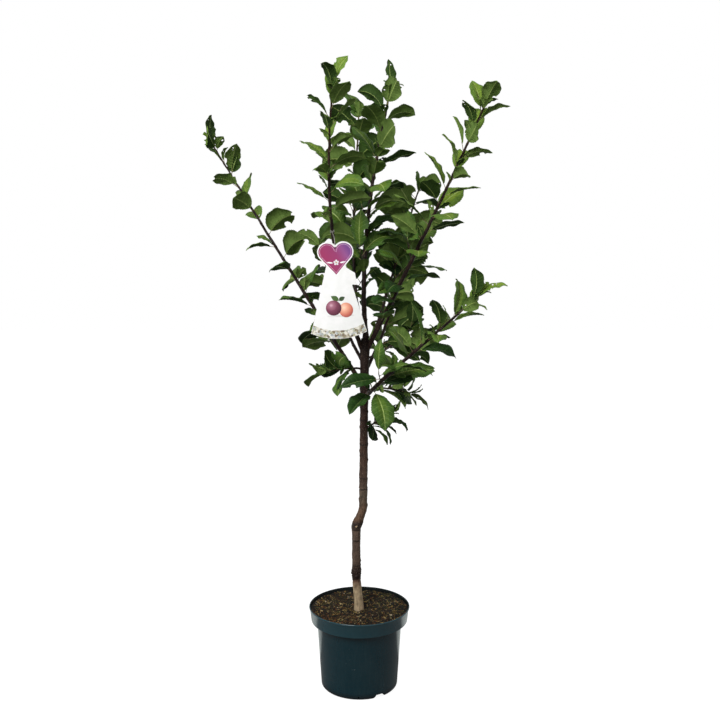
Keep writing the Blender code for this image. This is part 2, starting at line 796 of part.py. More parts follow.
def build_pot(plastic):
    """The pot: a thin wall with a stepped band, a lip, and arched drain mouths in its bottom edge."""
    lip_low = POT_HEIGHT - LIP_HEIGHT
    lip = [(BAND_TOP_RADIUS + LIP_PROUD * out, lip_low + LIP_HEIGHT * up) for out, up in LIP_SIDE]
    pot = turned("pot", side_to(0.0, lip_low) + lip, plastic)
    inside = side_to(POT_WALL, POT_HEIGHT - LIP_HEIGHT)
    inside.append((inside[-1][0], POT_HEIGHT + LIP_HEIGHT))
    hollow = turned("hollow", inside)
    apply_boolean(hollow, "DIFFERENCE", drain_blocks(POT_WALL, 0.0))
    apply_boolean(pot, "DIFFERENCE", [hollow])
    apply_boolean(pot, "DIFFERENCE", drain_blocks(0.0, -POT_WALL))
    keep_whole(pot)


def build_soil(peat):
    """The soil that fills the pot, level where the trunk stands on it."""
    soil = turned("soil", side_to(POT_WALL + CLEARANCE, SOIL_HEIGHT), peat)
    apply_boolean(soil, "DIFFERENCE", drain_blocks(POT_WALL + CLEARANCE, 0.0))
    keep_whole(soil)


def label_outline():
    """The label's outline: the heart's lobes, down one side to the skirt's curved foot and up the other."""
    drop = HEART_HEIGHT - LOBE_RADIUS
    notch = math.acos(-LOBE_CENTRE / LOBE_RADIUS)
    tangent = math.atan2(-drop, -LOBE_CENTRE) + math.acos(LOBE_RADIUS / math.hypot(LOBE_CENTRE, drop))
    half = [
        (LOBE_CENTRE + LOBE_RADIUS * math.cos(turn), LOBE_RADIUS * (math.sin(turn) - 1))
        for turn in np.linspace(notch, tangent, ARC_STEPS)
    ]
    half.append((SKIRT_TOP_HALF, -SKIRT_TOP))
    for turn in np.linspace(0, math.pi / 2, ARC_STEPS // 2):
        across = math.cos(turn)
        half.append((SKIRT_LOW_HALF * across, (SKIRT_BOTTOM - SKIRT_SIDE) * across ** 2 - SKIRT_BOTTOM))
    return half + [(-across, height) for across, height in reversed(half[1:-1])]


def build_label(card, origin):
    """The label: a card cut to its outline, with a hole under the notch, hanging a little out of plumb."""
    bm = bmesh.new()
    front = -0.5 * LABEL_THICKNESS
    face = bm.faces.new([bm.verts.new((across, front, up)) for across, up in label_outline()])
    back = bmesh.ops.extrude_face_region(bm, geom=[face])["geom"]
    moved = [vertex for vertex in back if isinstance(vertex, bmesh.types.BMVert)]
    bmesh.ops.translate(bm, verts=moved, vec=(0, LABEL_THICKNESS, 0))
    bmesh.ops.recalc_face_normals(bm, faces=bm.faces)
    label = add_piece("label", bm, card)
    bm = bmesh.new()
    place = Matrix.Translation((0, 0, -HOLE_DROP)) @ Matrix.Rotation(math.radians(90), 4, "X")
    bmesh.ops.create_cone(bm, cap_ends=True, segments=HOLE_SEGMENTS, radius1=HOLE_RADIUS, radius2=HOLE_RADIUS,
                          depth=HOLE_DEPTH, matrix=place)
    apply_boolean(label, "DIFFERENCE", [add_piece("hole", bm)])
    label.data.transform(Matrix.Translation(origin) @ Matrix.Rotation(math.radians(LABEL_TILT), 4, "Y"))


def ring(name, centre, normal, major, finish=None):
    """A closed ring of the tie's thickness."""
    bm = bmesh.new()
    place = Matrix.Translation((major, 0, 0)) @ Matrix.Rotation(math.radians(90), 4, "X")
    bmesh.ops.create_circle(bm, segments=TIE_SIDES, radius=TIE_RADIUS, matrix=place)
    bmesh.ops.spin(bm, geom=bm.verts[:] + bm.edges[:], axis=(0, 0, 1), cent=(0, 0, 0), angle=2 * math.pi,
                   steps=RING_STEPS, use_merge=True)
    bmesh.ops.remove_doubles(bm, verts=bm.verts, dist=WELD)
    bmesh.ops.recalc_face_normals(bm, faces=bm.faces)
    turn = Vector(normal).to_track_quat("Z", "Y").to_matrix().to_4x4()
    bmesh.ops.transform(bm, matrix=Matrix.Translation(centre) @ turn, verts=bm.verts)
    return add_piece(name, bm, finish)


def build_tie(wire):
    """The tie: a ring round its bough, a strand down and a loop in the label's hole.

    Returns the place where the label's top middle hangs.
    """
    shoot = next(shoot for shoot in SHOOTS if shoot.name == TIED_TO)
    centre, ahead = along(axis_of(shoot), TIE_SHARE)
    forward = unit(FRONT - ahead * ahead.dot(FRONT))
    major = shoot_radius(shoot, TIE_SHARE) + CLEARANCE + TIE_RADIUS
    top = centre + forward * major
    origin = top + np.array([TIE_SHIFT, 0, 0]) - UP * TIE_LENGTH
    seat = HOLE_DROP - HOLE_RADIUS + TIE_RADIUS + CLEARANCE
    loop_centre = origin - UP * (seat - TIE_LOOP_RADIUS)
    tie = ring("tie", centre, ahead, major, wire)
    bm = bmesh.new()
    loft(bm, [top, loop_centre + UP * TIE_LOOP_RADIUS], [-UP] * 2, [TIE_RADIUS] * 2, TIE_SIDES)
    strand = add_piece("strand", bm)
    apply_boolean(tie, "UNION", [strand])
    apply_boolean(tie, "UNION", [ring("loop", loop_centre, (1, 0, 0), TIE_LOOP_RADIUS)])
    keep_whole(tie)
    return origin


def main():
    """Builds the whole plant with its pot and label."""
    clear_scene()
    bark = material("bark", (0.070, 0.045, 0.033), 0.80)
    foliage = material("foliage", (0.040, 0.100, 0.022), 0.55)
    build_pot(material("pot_plastic", (0.012, 0.028, 0.034), 0.45))
    build_soil(material("peat", (0.050, 0.034, 0.018), 0.95))
    trunk = build_trunk(bark)
    limbs = build_boughs(trunk, bark)
    for shoot in SHOOTS:
        build_mass(shoot, limbs, foliage)
    origin = build_tie(material("tie_wire", (0.75, 0.74, 0.70), 0.50))
    build_label(material("label_card", (0.80, 0.79, 0.76), 0.45), origin)


main()
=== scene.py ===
"""The looks of a young gage plum tree in its nursery pot, with a label tied to one bough.

Metres, +Z up. The origin is the middle of the pot's flat underside, and -Y is the front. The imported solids
are the frame. Stems, twigs, buds and leaves grow in place of each leafy mass by the same seeded rule as the
solids, bark with relief stands for the trunk and boughs, and finer pieces for the pot, label and tie.
"""
import logging
import math
from dataclasses import dataclass, replace
from enum import Enum
from typing import Iterable, Sequence

import bpy
import numpy as np
from mathutils import Matrix, Vector

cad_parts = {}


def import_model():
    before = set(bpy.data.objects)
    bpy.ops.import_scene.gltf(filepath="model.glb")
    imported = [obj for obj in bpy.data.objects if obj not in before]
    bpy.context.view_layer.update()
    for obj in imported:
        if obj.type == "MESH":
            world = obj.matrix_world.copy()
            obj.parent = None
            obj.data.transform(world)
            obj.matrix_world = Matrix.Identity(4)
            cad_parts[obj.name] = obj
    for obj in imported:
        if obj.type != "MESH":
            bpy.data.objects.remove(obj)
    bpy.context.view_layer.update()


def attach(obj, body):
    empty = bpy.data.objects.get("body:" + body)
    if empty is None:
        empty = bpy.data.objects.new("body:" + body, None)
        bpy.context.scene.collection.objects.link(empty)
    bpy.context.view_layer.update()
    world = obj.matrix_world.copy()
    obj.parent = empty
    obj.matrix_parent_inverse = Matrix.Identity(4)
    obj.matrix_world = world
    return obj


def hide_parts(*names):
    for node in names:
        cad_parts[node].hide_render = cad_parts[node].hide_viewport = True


MM = 0.001
UP = np.array([0.0, 0.0, 1.0])
FRONT = np.array([0.0, -1.0, 0.0])
BODY = "root"
Colour = tuple[int, int, int]
Pair = tuple[float, float]
Triple = tuple[float, float, float]
Stops = tuple[tuple[float, Colour], ...]
Array = np.ndarray
Piece = bpy.types.Object
Dice = np.random.Generator
log = logging.getLogger("plum_tree")


def socket_colour(colour: Colour) -> tuple[float, float, float, float]:
    """A screen colour of three values up to 255, as a socket takes it."""
    shares = (value / 255 for value in colour)
    linear = [share / 12.92 if share <= 0.04045 else ((share + 0.055) / 1.055) ** 2.4 for share in shares]
    return (*linear, 1.0)


# Shader graphs


@dataclass(frozen=True)
class Signal:
    """A value that varies over a surface: an output socket that takes part in arithmetic."""

    graph: "Graph"
    socket: bpy.types.NodeSocket

    def maths(self, operation: str, *terms: "Signal | float") -> "Signal":
        """A Math node's result for terms in order."""
        return self.graph.add("ShaderNodeMath", {"operation": operation}, dict(enumerate(terms)))

    def __add__(self, other: "Signal | float") -> "Signal":
        """The sum."""
        return self.maths("ADD", self, other)

    def __sub__(self, other: "Signal | float") -> "Signal":
        """The difference."""
        return self.maths("SUBTRACT", self, other)

    def __rsub__(self, other: float) -> "Signal":
        """The difference from a number."""
        return self.maths("SUBTRACT", other, self)

    def __mul__(self, other: "Signal | float") -> "Signal":
        """The product."""
        return self.maths("MULTIPLY", self, other)

    __radd__ = __add__
    __rmul__ = __mul__

    def rise(self, low: float, high: float) -> "Signal":
        """A smooth step from 0 at low to 1 at high, or down from 1 where low is the larger."""
        ends = {"Value": self, "From Min": min(low, high), "From Max": max(low, high)}
        step = self.graph.add("ShaderNodeMapRange", {"interpolation_type": "SMOOTHSTEP"}, ends)
        return step if low < high else 1 - step

    def ramp(self, *stops: tuple[float, Colour]) -> "Signal":
        """The colour of a ramp with these stops."""
        return self.graph.add("ShaderNodeValToRGB", {"stops": stops}, {"Fac": self})


@dataclass(frozen=True)
class Graph:
    """The nodes of one material or of the surround, which are all added by one method."""

    tree: bpy.types.NodeTree

    def add(self, kind: str, settings: dict | None = None, values: dict | None = None,
            output: int | str = 0) -> Signal:
        """Adds a node.

        Args:
            kind: The node's type.
            settings: Its properties, set first. The stops of a ramp are one of them.
            values: What each input socket gets, by name or number.
            output: The number or name of the output to read.

        Returns:
            That output.
        """
        node = self.tree.nodes.new(kind)
        for key, value in (settings or {}).items():
            if key == "stops":
                self.set_stops(node.color_ramp, value)
            else:
                setattr(node, key, value)
        for key, value in (values or {}).items():
            self.feed(node.inputs[key], value)
        return Signal(self, node.outputs[output])

    @staticmethod
    def set_stops(ramp: bpy.types.ColorRamp, stops: Stops) -> None:
        """Gives a ramp its stops."""
        for number, (place, colour) in enumerate(stops):
            stop = ramp.elements[number] if number < 2 else ramp.elements.new(place)
            stop.position = place
            stop.color = socket_colour(colour)

    def feed(self, socket: bpy.types.NodeSocket, value: "Signal | float | tuple") -> None:
        """Links a signal to a socket, or sets a number or colour on it."""
        if isinstance(value, Signal):
            self.tree.links.new(value.socket, socket)
        else:
            socket.default_value = value

    def place(self, stretch: Triple = (1.0, 1.0, 1.0)) -> Signal:
        """The place on the object, stretched."""
        place = self.add("ShaderNodeTexCoord", output=3)
        return self.add("ShaderNodeMapping", values={"Vector": place, "Scale": stretch})

    def part(self, axis: int) -> Signal:
        """One coordinate of the place on the object: that of axis 2 is the height above the floor."""
        return self.add("ShaderNodeSeparateXYZ", values={0: self.place()}, output=axis)

    def noise(self, scale: float, detail: float = 2.0, stretch: Triple = (1.0, 1.0, 1.0)) -> Signal:
        """Soft noise from 0 to 1 that turns over about scale times in a metre."""
        values = {"Vector": self.place(stretch), "Scale": scale, "Detail": detail, "Roughness": 0.6}
        return self.add("ShaderNodeTexNoise", values=values)

    def cells(self, scale: float, feature: str = "F1", stretch: Triple = (1.0, 1.0, 1.0),
              output: int = 0) -> Signal:
        """The distance within cells, or a random colour for each where output is 1."""
        values = {"Vector": self.place(stretch), "Scale": scale}
        return self.add("ShaderNodeTexVoronoi", {"feature": feature}, values, output)

    def mix(self, share: "Signal | float", first: "Signal | Colour", second: "Signal | Colour") -> Signal:
        """A colour that lies a share of the way from the first to the second."""
        first, second = (end if isinstance(end, Signal) else socket_colour(end) for end in (first, second))
        return self.add("ShaderNodeMix", {"data_type": "RGBA"}, {0: share, 6: first, 7: second}, 2)

    def relief(self, rise: Signal, depth: float, strength: float = 1.0) -> Signal:
        """A normal bent by a rise of a depth in metres."""
        return self.add("ShaderNodeBump", values={"Height": rise, "Distance": depth, "Strength": strength})

    def dress(self, **sockets: "Signal | float | Colour") -> None:
        """Feeds the shader's sockets, named with an underscore for each space."""
        for name, value in sockets.items():
            if name == "base_color" and not isinstance(value, Signal):
                value = socket_colour(value)
            name = name.replace("_", " ").title().replace("Ior", "IOR")
            self.feed(self.tree.nodes["Principled BSDF"].inputs[name], value)


# Finishes


@dataclass(frozen=True)
class Finish:
    """A finish that is made once, under its name."""

    name: str

    def material(self) -> bpy.types.Material:
        """The finish's material."""
        made = bpy.data.materials.get(self.name)
        if made is None:
            made = bpy.data.materials.new(self.name)
            made.use_nodes = True
            self.paint(Graph(made.node_tree))
        return made

    def paint(self, graph: Graph) -> None:
        """Adds the finish's nodes."""
        raise NotImplementedError


@dataclass(frozen=True)
class LeafSkin(Finish):
    """A leaf's skin: mottled green over a net of fine veins."""

    colour: Colour
    shade: Colour
    roughness: float = 0.40
    net_depth: float = 0.16 * MM

    def paint(self, graph: Graph) -> None:
        """Mottles the green broadly and finely, and raises the net."""
        tone = (graph.noise(24.0) * 0.6 + graph.noise(190.0, 3.0) * 0.4).rise(0.34, 0.66)
        net = graph.cells(460.0, "DISTANCE_TO_EDGE").rise(0.0, 0.16)
        graph.dress(
            base_color=graph.mix(tone * 0.8 + net * 0.2, self.shade, self.colour),
            roughness=self.roughness + 0.12 * graph.noise(70.0),
            normal=graph.relief(net, self.net_depth, 0.35),
            specular_ior_level=0.11,
        )


@dataclass(frozen=True)
class Tissue(Finish):
    """A soft plant part of one hue: a vein, a stalk, a bud or a brown edge."""

    colour: Colour
    shade: Colour
    roughness: float = 0.55
    scale: float = 120.0
    detail: float = 3.0
    blend: Pair = (0.3, 0.7)
    depth: float = 0.1 * MM
    strength: float = 0.4
    specular: float = 0.5

    def paint(self, graph: Graph) -> None:
        """Clouds the hue and raises its grain."""
        grain = graph.noise(self.scale, self.detail)
        graph.dress(
            base_color=graph.mix(grain.rise(*self.blend), self.shade, self.colour),
            roughness=self.roughness,
            normal=graph.relief(grain, self.depth, self.strength),
            specular_ior_level=self.specular,
        )


@dataclass(frozen=True)
class Peat(Tissue):
    """Moist peat or one of the scraps in it, with a coarse grain."""

    roughness: float = 0.86
    scale: float = 420.0
    detail: float = 4.0
    blend: Pair = (0.34, 0.66)
    depth: float = 0.7 * MM
    strength: float = 0.8
    specular: float = 0.3


@dataclass(frozen=True)
class Bark(Finish):
    """Bark whose hue goes by height, with streaks, pale pores and dark specks."""

    stops: Stops
    pores: Colour
    low: float
    high: float
    pore_share: float = 0.8
    roughness: float = 0.72
    rings: tuple[float, ...] = ()
    ring_edge: Pair = (2.2 * MM, 0.8 * MM)

    def paint(self, graph: Graph) -> None:
        """Lays the hues up the limb and breaks them up."""
        height = graph.part(2)
        wobble = (graph.noise(60.0, 4.0) - 0.5) * 0.022
        hue = ((height + wobble - self.low) * (1 / (self.high - self.low))).ramp(*self.stops)
        streaks = graph.noise(1.0, 4.0, (260.0, 260.0, 32.0)).rise(0.35, 0.68)
        patches = graph.noise(75.0, 3.0).rise(0.35, 0.7)
        body = graph.mix(streaks * 0.5 + patches * 0.5, graph.mix(0.66, hue, (16, 10, 8)), hue)
        pores = graph.cells(1.0, stretch=(150.0, 150.0, 420.0)).rise(0.30, 0.16) * self.pore_share
        specks = graph.noise(520.0, 2.0).rise(0.62, 0.72) * 0.5
        body = graph.mix(pores, body, self.pores)
        outer, inner = (reach ** 2 for reach in self.ring_edge)
        for ring in self.rings:
            off = height + wobble * 0.25 - ring
            body = graph.mix((off * off).rise(outer, inner) * 0.75, body, (22, 14, 12))
        rise = streaks * 0.5 + patches * 0.3 + pores * 0.6 - specks * 0.5
        graph.dress(
            base_color=graph.mix(specks, body, (20, 14, 12)),
            roughness=self.roughness - 0.16 * streaks,
            normal=graph.relief(rise, 0.6 * MM, 0.8),
            specular_ior_level=0.26,
        )


@dataclass(frozen=True)
class PotPlastic(Finish):
    """Satin nursery-pot plastic: its band greyer and lighter by a painted reflection, flecked with dust and a
    few scuffs, and darker towards its foot.
    """

    body: Colour = (3, 38, 46)
    # The band's lighter colour is a painted reflection.
    band_painted_reflection: Colour = (24, 58, 66)
    dust: Colour = (84, 98, 98)
    specular: float = 0.5
    band_low: float = 0.180

    def paint(self, graph: Graph) -> None:
        """Lays the band's painted reflection, the dust and the scuffs on the plastic, and darkens its foot.
        """
        height = graph.part(2)
        cloud = graph.noise(16.0, 4.0).rise(0.3, 0.75)
        streaks = graph.noise(1.0, 3.0, (210.0, 210.0, 18.0)).rise(0.45, 0.75)
        grain = graph.noise(900.0, 2.0)
        scuffs = graph.noise(1.0, 5.0, (55.0, 55.0, 110.0)).rise(0.66, 0.74)
        # Painted reflection: the band above band_low takes its lighter colour.
        plain = graph.mix(height.rise(self.band_low - 0.004, self.band_low + 0.002), self.body, self.band_painted_reflection)
        wear = cloud * 0.05 + streaks * 0.03 + scuffs * 0.22 + grain.rise(0.60, 0.72) * 0.10
        worn = graph.mix(wear, plain, self.dust)
        graph.dress(
            base_color=graph.mix(height.rise(0.022, 0.004) * 0.75, worn, (10, 14, 15)),
            roughness=0.13 + 0.05 * cloud + 0.12 * scuffs + 0.04 * grain,
            normal=graph.relief(grain + streaks * 0.6, 0.06 * MM, 0.6),
            specular_ior_level=self.specular,
        )


@dataclass(frozen=True)
class Card(Finish):
    """Printed card or one flat ink on it, a little satin."""

    colour: Colour
    other: Colour
    roughness: float = 0.42

    def paint(self, graph: Graph) -> None:
        """Clouds the print very slightly."""
        cloud = graph.noise(55.0, 3.0)
        graph.dress(
            base_color=graph.mix(cloud.rise(0.35, 0.7), self.other, self.colour),
            roughness=self.roughness + 0.08 * cloud,
            normal=graph.relief(graph.noise(700.0), 0.03 * MM, 0.5),
        )


@dataclass(frozen=True)
class HeartInk(Finish):
    """The heart's ink, which goes from magenta at its lower left to violet at its upper right."""

    middle: Triple
    stops: Stops = (
        (0.0, (158, 54, 98)), (0.45, (154, 60, 108)), (0.8, (150, 84, 142)), (1.0, (124, 74, 142)),
    )
    reach: float = 0.062

    def paint(self, graph: Graph) -> None:
        """Blends the inks across the heart."""
        across, up = (graph.part(axis) - self.middle[axis] for axis in (0, 2))
        share = (across * 0.9 + up * 0.55) * (1 / self.reach) + 0.46 + (graph.noise(40.0) - 0.5) * 0.12
        graph.dress(base_color=share.ramp(*self.stops), roughness=0.36, coat_weight=0.15 * graph.noise(30.0))


@dataclass(frozen=True)
class FruitInk(Finish):
    """A printed plum: light where it catches the light, dark at its edge."""

    bright: Triple
    radius: float
    stops: Stops = (
        (0.0, (226, 190, 200)), (0.16, (178, 118, 138)), (0.5, (128, 66, 88)), (1.0, (74, 34, 52)),
    )

    def paint(self, graph: Graph) -> None:
        """Shades the plum round its bright spot."""
        ends = {0: graph.place(), 1: self.bright}
        far = graph.add("ShaderNodeVectorMath", {"operation": "DISTANCE"}, ends, 1)
        share = far * (1 / (1.5 * self.radius)) + (graph.noise(260.0, 3.0) - 0.5) * 0.10
        graph.dress(base_color=share.ramp(*self.stops), roughness=0.40)


@dataclass(frozen=True)
class MottledInk(Finish):
    """The label's lower band: a loose mottle of cream, brown, grey and white."""

    stops: Stops = (
        (0.0, (84, 66, 50)), (0.3, (150, 138, 112)), (0.42, (226, 222, 208)), (0.6, (236, 234, 226)),
        (0.72, (160, 170, 178)), (0.85, (206, 204, 170)), (1.0, (96, 84, 66)),
    )

    def paint(self, graph: Graph) -> None:
        """Breaks the hues into flecks."""
        flecks = graph.add("ShaderNodeSeparateColor", values={0: graph.cells(170.0, output=1)})
        share = flecks * 0.80 + graph.noise(80.0, 4.0) * 0.50 - 0.15
        graph.dress(base_color=share.ramp(*self.stops), roughness=0.42)


@dataclass(frozen=True)
class Wire(Finish):
    """Pale plastic-covered wire, a little grubby."""

    colour: Colour = (206, 204, 196)
    grime: Colour = (128, 124, 112)

    def paint(self, graph: Graph) -> None:
        """Grubs the wire in patches."""
        grime = graph.noise(150.0, 3.0).rise(0.45, 0.75)
        graph.dress(base_color=graph.mix(grime, self.colour, self.grime), roughness=0.45 + 0.2 * grime)


@dataclass(frozen=True)
class Ground(Finish):
    """The studio's plain pale floor, which glows evenly to the camera, and behind the pot glows in
    reflections alone as a painted light.
    """

    colour: Colour = (118, 118, 118)
    glow: Colour = (247, 247, 247)
    far_glow: Colour = (196, 204, 200)
    far: Pair = (0.13, 0.15)
    near_x: Pair = (0.10, 0.12)

    def paint(self, graph: Graph) -> None:
        """Lays a matt coat with a faint shadow, which mirrors bright behind the pot and dark before it."""
        seen = graph.add("ShaderNodeLightPath", output="Is Camera Ray")
        mirrored = graph.add("ShaderNodeLightPath", output="Is Glossy Ray")
        across = graph.part(0)
        aside = (across * across).rise(*(near ** 2 for near in self.near_x))
        dark = graph.mix(mirrored * (aside * graph.part(1).rise(*self.far)), (0, 0, 0), self.far_glow)
        graph.dress(base_color=self.colour, roughness=0.9, specular_ior_level=0.0, emission_strength=1.0,
                    emission_color=graph.mix(seen, dark, self.glow))


class Tint(Enum):
    """The leaves' hues, above and below. The dark and deep ones are painted shade and the light and fresh
    ones painted light, dealt out by where each leaf sits in the crown; young leaves are a little brighter,
    and the dim ribs and veins are painted shade on the shaded leaves.
    """

    FRESH = LeafSkin("leaf_fresh", (106, 134, 52), (78, 106, 38))
    LIGHT = LeafSkin("leaf_light", (92, 120, 50), (66, 94, 35))
    MIDDLE = LeafSkin("leaf_middle", (74, 104, 43), (49, 77, 28))
    DEEP = LeafSkin("leaf_deep", (48, 78, 30), (27, 51, 19))
    DARK = LeafSkin("leaf_dark", (21, 45, 15), (10, 26, 9))
    FRESH_HEART = LeafSkin("leaf_fresh_heart", (120, 144, 50), (94, 119, 37))
    LIGHT_HEART = LeafSkin("leaf_light_heart", (107, 130, 49), (80, 104, 35))
    MIDDLE_HEART = LeafSkin("leaf_middle_heart", (86, 112, 42), (60, 86, 28))
    PALE_BACK = LeafSkin("leaf_back_pale", (102, 126, 62), (80, 103, 46), 0.66, 0.35 * MM)
    DIM_BACK = LeafSkin("leaf_back_dim", (58, 82, 34), (41, 62, 23), 0.66, 0.35 * MM)
    RIB = Tissue("leaf_rib", (152, 170, 92), (126, 148, 72))
    VEIN = Tissue("leaf_vein", (100, 128, 54), (76, 104, 40))
    # Dimmed copies of the rib and vein, painted shade for the dark and deep leaves.
    DIM_RIB = Tissue("leaf_rib_dim", (96, 118, 56), (74, 96, 44))
    DIM_VEIN = Tissue("leaf_vein_dim", (44, 70, 28), (30, 52, 18))
    STALK = Tissue("leaf_stalk", (126, 126, 74), (104, 74, 58))
    EATEN = Tissue("leaf_eaten_edge", (112, 92, 48), (74, 56, 30))


BLADE_TINTS = (Tint.DARK, Tint.DEEP, Tint.MIDDLE, Tint.LIGHT, Tint.FRESH)
HEARTS = {Tint.FRESH: Tint.FRESH_HEART, Tint.LIGHT: Tint.LIGHT_HEART, Tint.MIDDLE: Tint.MIDDLE_HEART}
# Leaves in painted shade, whose ribs and veins take the dimmed copies.
PAINTED_SHADE_TINTS = (Tint.DARK, Tint.DEEP)
SLOTS = {tint: number for number, tint in enumerate(Tint)}

TRUNK_BARK = Bark(
    "trunk_bark",
    (
        (0.000, (184, 162, 130)), (0.088, (190, 168, 134)), (0.114, (112, 84, 68)), (0.126, (38, 20, 16)),
        (0.160, (44, 27, 21)), (0.185, (96, 77, 65)), (0.300, (100, 81, 69)), (0.325, (40, 28, 23)),
        (0.345, (108, 80, 60)), (0.400, (96, 76, 60)), (0.430, (102, 89, 74)), (0.480, (88, 68, 56)),
        (0.575, (72, 51, 40)), (0.700, (56, 35, 27)), (0.860, (44, 26, 21)), (1.000, (37, 22, 18)),
    ),
    (146, 126, 106), 0.2, 0.93, 0.32, rings=(0.3275, 0.3950, 0.4235, 0.5315, 0.5600, 0.6490, 0.7120),
)
BOUGH_BARK = Bark(
    "bough_bark", ((0.0, (78, 52, 42)), (0.25, (60, 38, 32)), (0.5, (46, 28, 25)), (1.0, (46, 28, 26))),
    (128, 104, 86), 0.7, 1.3, 0.45, 0.6,
)
STEM_BARK = Bark(
    "stem_bark", ((0.0, (48, 30, 26)), (0.5, (42, 25, 23)), (1.0, (62, 42, 32))),
    (112, 88, 72), 0.8, 1.6, 0.35, 0.5,
)
SCAR = Tissue("old_cut", (180, 156, 126), (134, 108, 82), 0.8, 300.0)
COLLAR = Tissue("cut_collar", (46, 34, 28), (26, 19, 16), 0.85, 240.0)
BUD = Tissue("bud_scales", (74, 48, 38), (40, 25, 22), 0.5, 500.0)


# Directions and lines


def unit(vector: Array) -> Array:
    """The vector at a length of 1."""
    return vector / np.linalg.norm(vector)


def between(pair: Pair, share: float) -> float:
    """The value that lies a share of the way from a pair's first to its second."""
    return pair[0] + (pair[1] - pair[0]) * share


def eased(share: float) -> float:
    """A smooth step from 0 to 1 as share goes from 0 to 1."""
    share = min(max(share, 0.0), 1.0)
    return share * share * (3 - 2 * share)


def direction(heading: float, lean: float) -> Array:
    """The unit vector with a heading and a lean in degrees."""
    heading, lean = math.radians(heading), math.radians(lean)
    return np.array([math.sin(lean) * math.cos(heading), math.sin(lean) * math.sin(heading), math.cos(lean)])


def along(points: Array, share: float) -> tuple[Array, Array]:
    """The place and the direction at a share of a line of points."""
    index = min(max(share, 0.0), 1.0) * (len(points) - 1)
    low = min(int(index), len(points) - 2)
    step = points[low + 1] - points[low]
    return points[low] + step * (index - low), unit(step)


def distances(samples: Array, line: Array) -> Array:
    """The distance from each sample to each point of a line."""
    return np.linalg.norm(samples[:, None, :] - line[None, :, :], axis=2)


def outward(stem: Array, turn: float) -> Array:
    """The direction square to a stem at a turn in degrees round it."""
    first = unit(np.array([1.0, 0.0, 0.0]) - stem * stem[0])
    turn = math.radians(turn)
    return first * math.cos(turn) + np.cross(stem, first) * math.sin(turn)


def lumps(points: Array, size: float, seed: int, waves: int = 26) -> Array:
    """Smooth lumps, mostly from -1 to 1.

    Args:
        points: Where they are read.
        size: How far a lump reaches.
        seed: Deals out the waves that make them.
        waves: How many waves there are.

    Returns:
        A value for each point.
    """
    rng = np.random.default_rng(seed)
    ways = rng.normal(size=(3, waves))
    ways *= 2 * math.pi / size / np.linalg.norm(ways, axis=0) * rng.uniform(0.6, 1.5, waves)
    return np.cos(points @ ways + rng.uniform(0, 2 * math.pi, waves)).sum(axis=1) / math.sqrt(waves)


def nearness(lengths: Array, nodes: Array, reach: float) -> Array:
    """How near each length lies to the nodes: 1 at a node, and next to 0 two reaches off."""
    return np.exp(-((lengths[:, None] - nodes) / reach) ** 2).sum(axis=1)


# Meshes from arrays


class Surface:
    """A mesh while it is still arrays of points, and of faces with a slot each."""

    def __init__(self) -> None:
        """Starts with nothing."""
        self.points: list[Array] = []
        self.faces: list[Array] = []
        self.slots: list[Array] = []
        self.count = 0

    def add(self, points: Array, *groups: tuple) -> None:
        """Adds points, and groups of faces between them, each with its slot or slots."""
        for faces, slots in groups:
            self.faces.append(np.asarray(faces, dtype=int) + self.count)
            self.slots.append(np.broadcast_to(slots, len(faces)))
        self.points.append(points)
        self.count += len(points)

    def limb(self, points: Array, radii: Array, sides: int, slot: int = 0, tip: float = 0.6) -> None:
        """Adds a closed round limb, all in one slot."""
        verts, faces = tube(points, radii, sides, tip)
        self.add(verts, *((group, slot) for group in faces))

    def piece(self, name: str, finishes: Iterable[Finish], crease: float = 60.0) -> Piece:
        """Makes the object.

        Args:
            name: The piece's name.
            finishes: One for each slot.
            crease: The angle in degrees past which an edge is sharp.

        Returns:
            The piece, at the origin.
        """
        corners = np.concatenate([faces.ravel() for faces in self.faces])
        sizes = np.concatenate([np.full(len(faces), faces.shape[1]) for faces in self.faces])
        mesh = bpy.data.meshes.new(name)
        mesh.vertices.add(self.count)
        mesh.vertices.foreach_set("co", np.concatenate(self.points).astype(np.float32).ravel())
        mesh.loops.add(len(corners))
        mesh.loops.foreach_set("vertex_index", corners.astype(np.int32))
        mesh.polygons.add(len(sizes))
        mesh.polygons.foreach_set("loop_start", (np.cumsum(sizes) - sizes).astype(np.int32))
        mesh.polygons.foreach_set("material_index", np.concatenate(self.slots).astype(np.int32))
        mesh.update(calc_edges=True)
        mesh.validate()
        mesh.shade_smooth()
        mesh.set_sharp_from_angle(angle=math.radians(crease))
        for finish in finishes:
            mesh.materials.append(finish.material())
        piece = bpy.data.objects.new(name, mesh)
        bpy.context.scene.collection.objects.link(piece)
        return piece


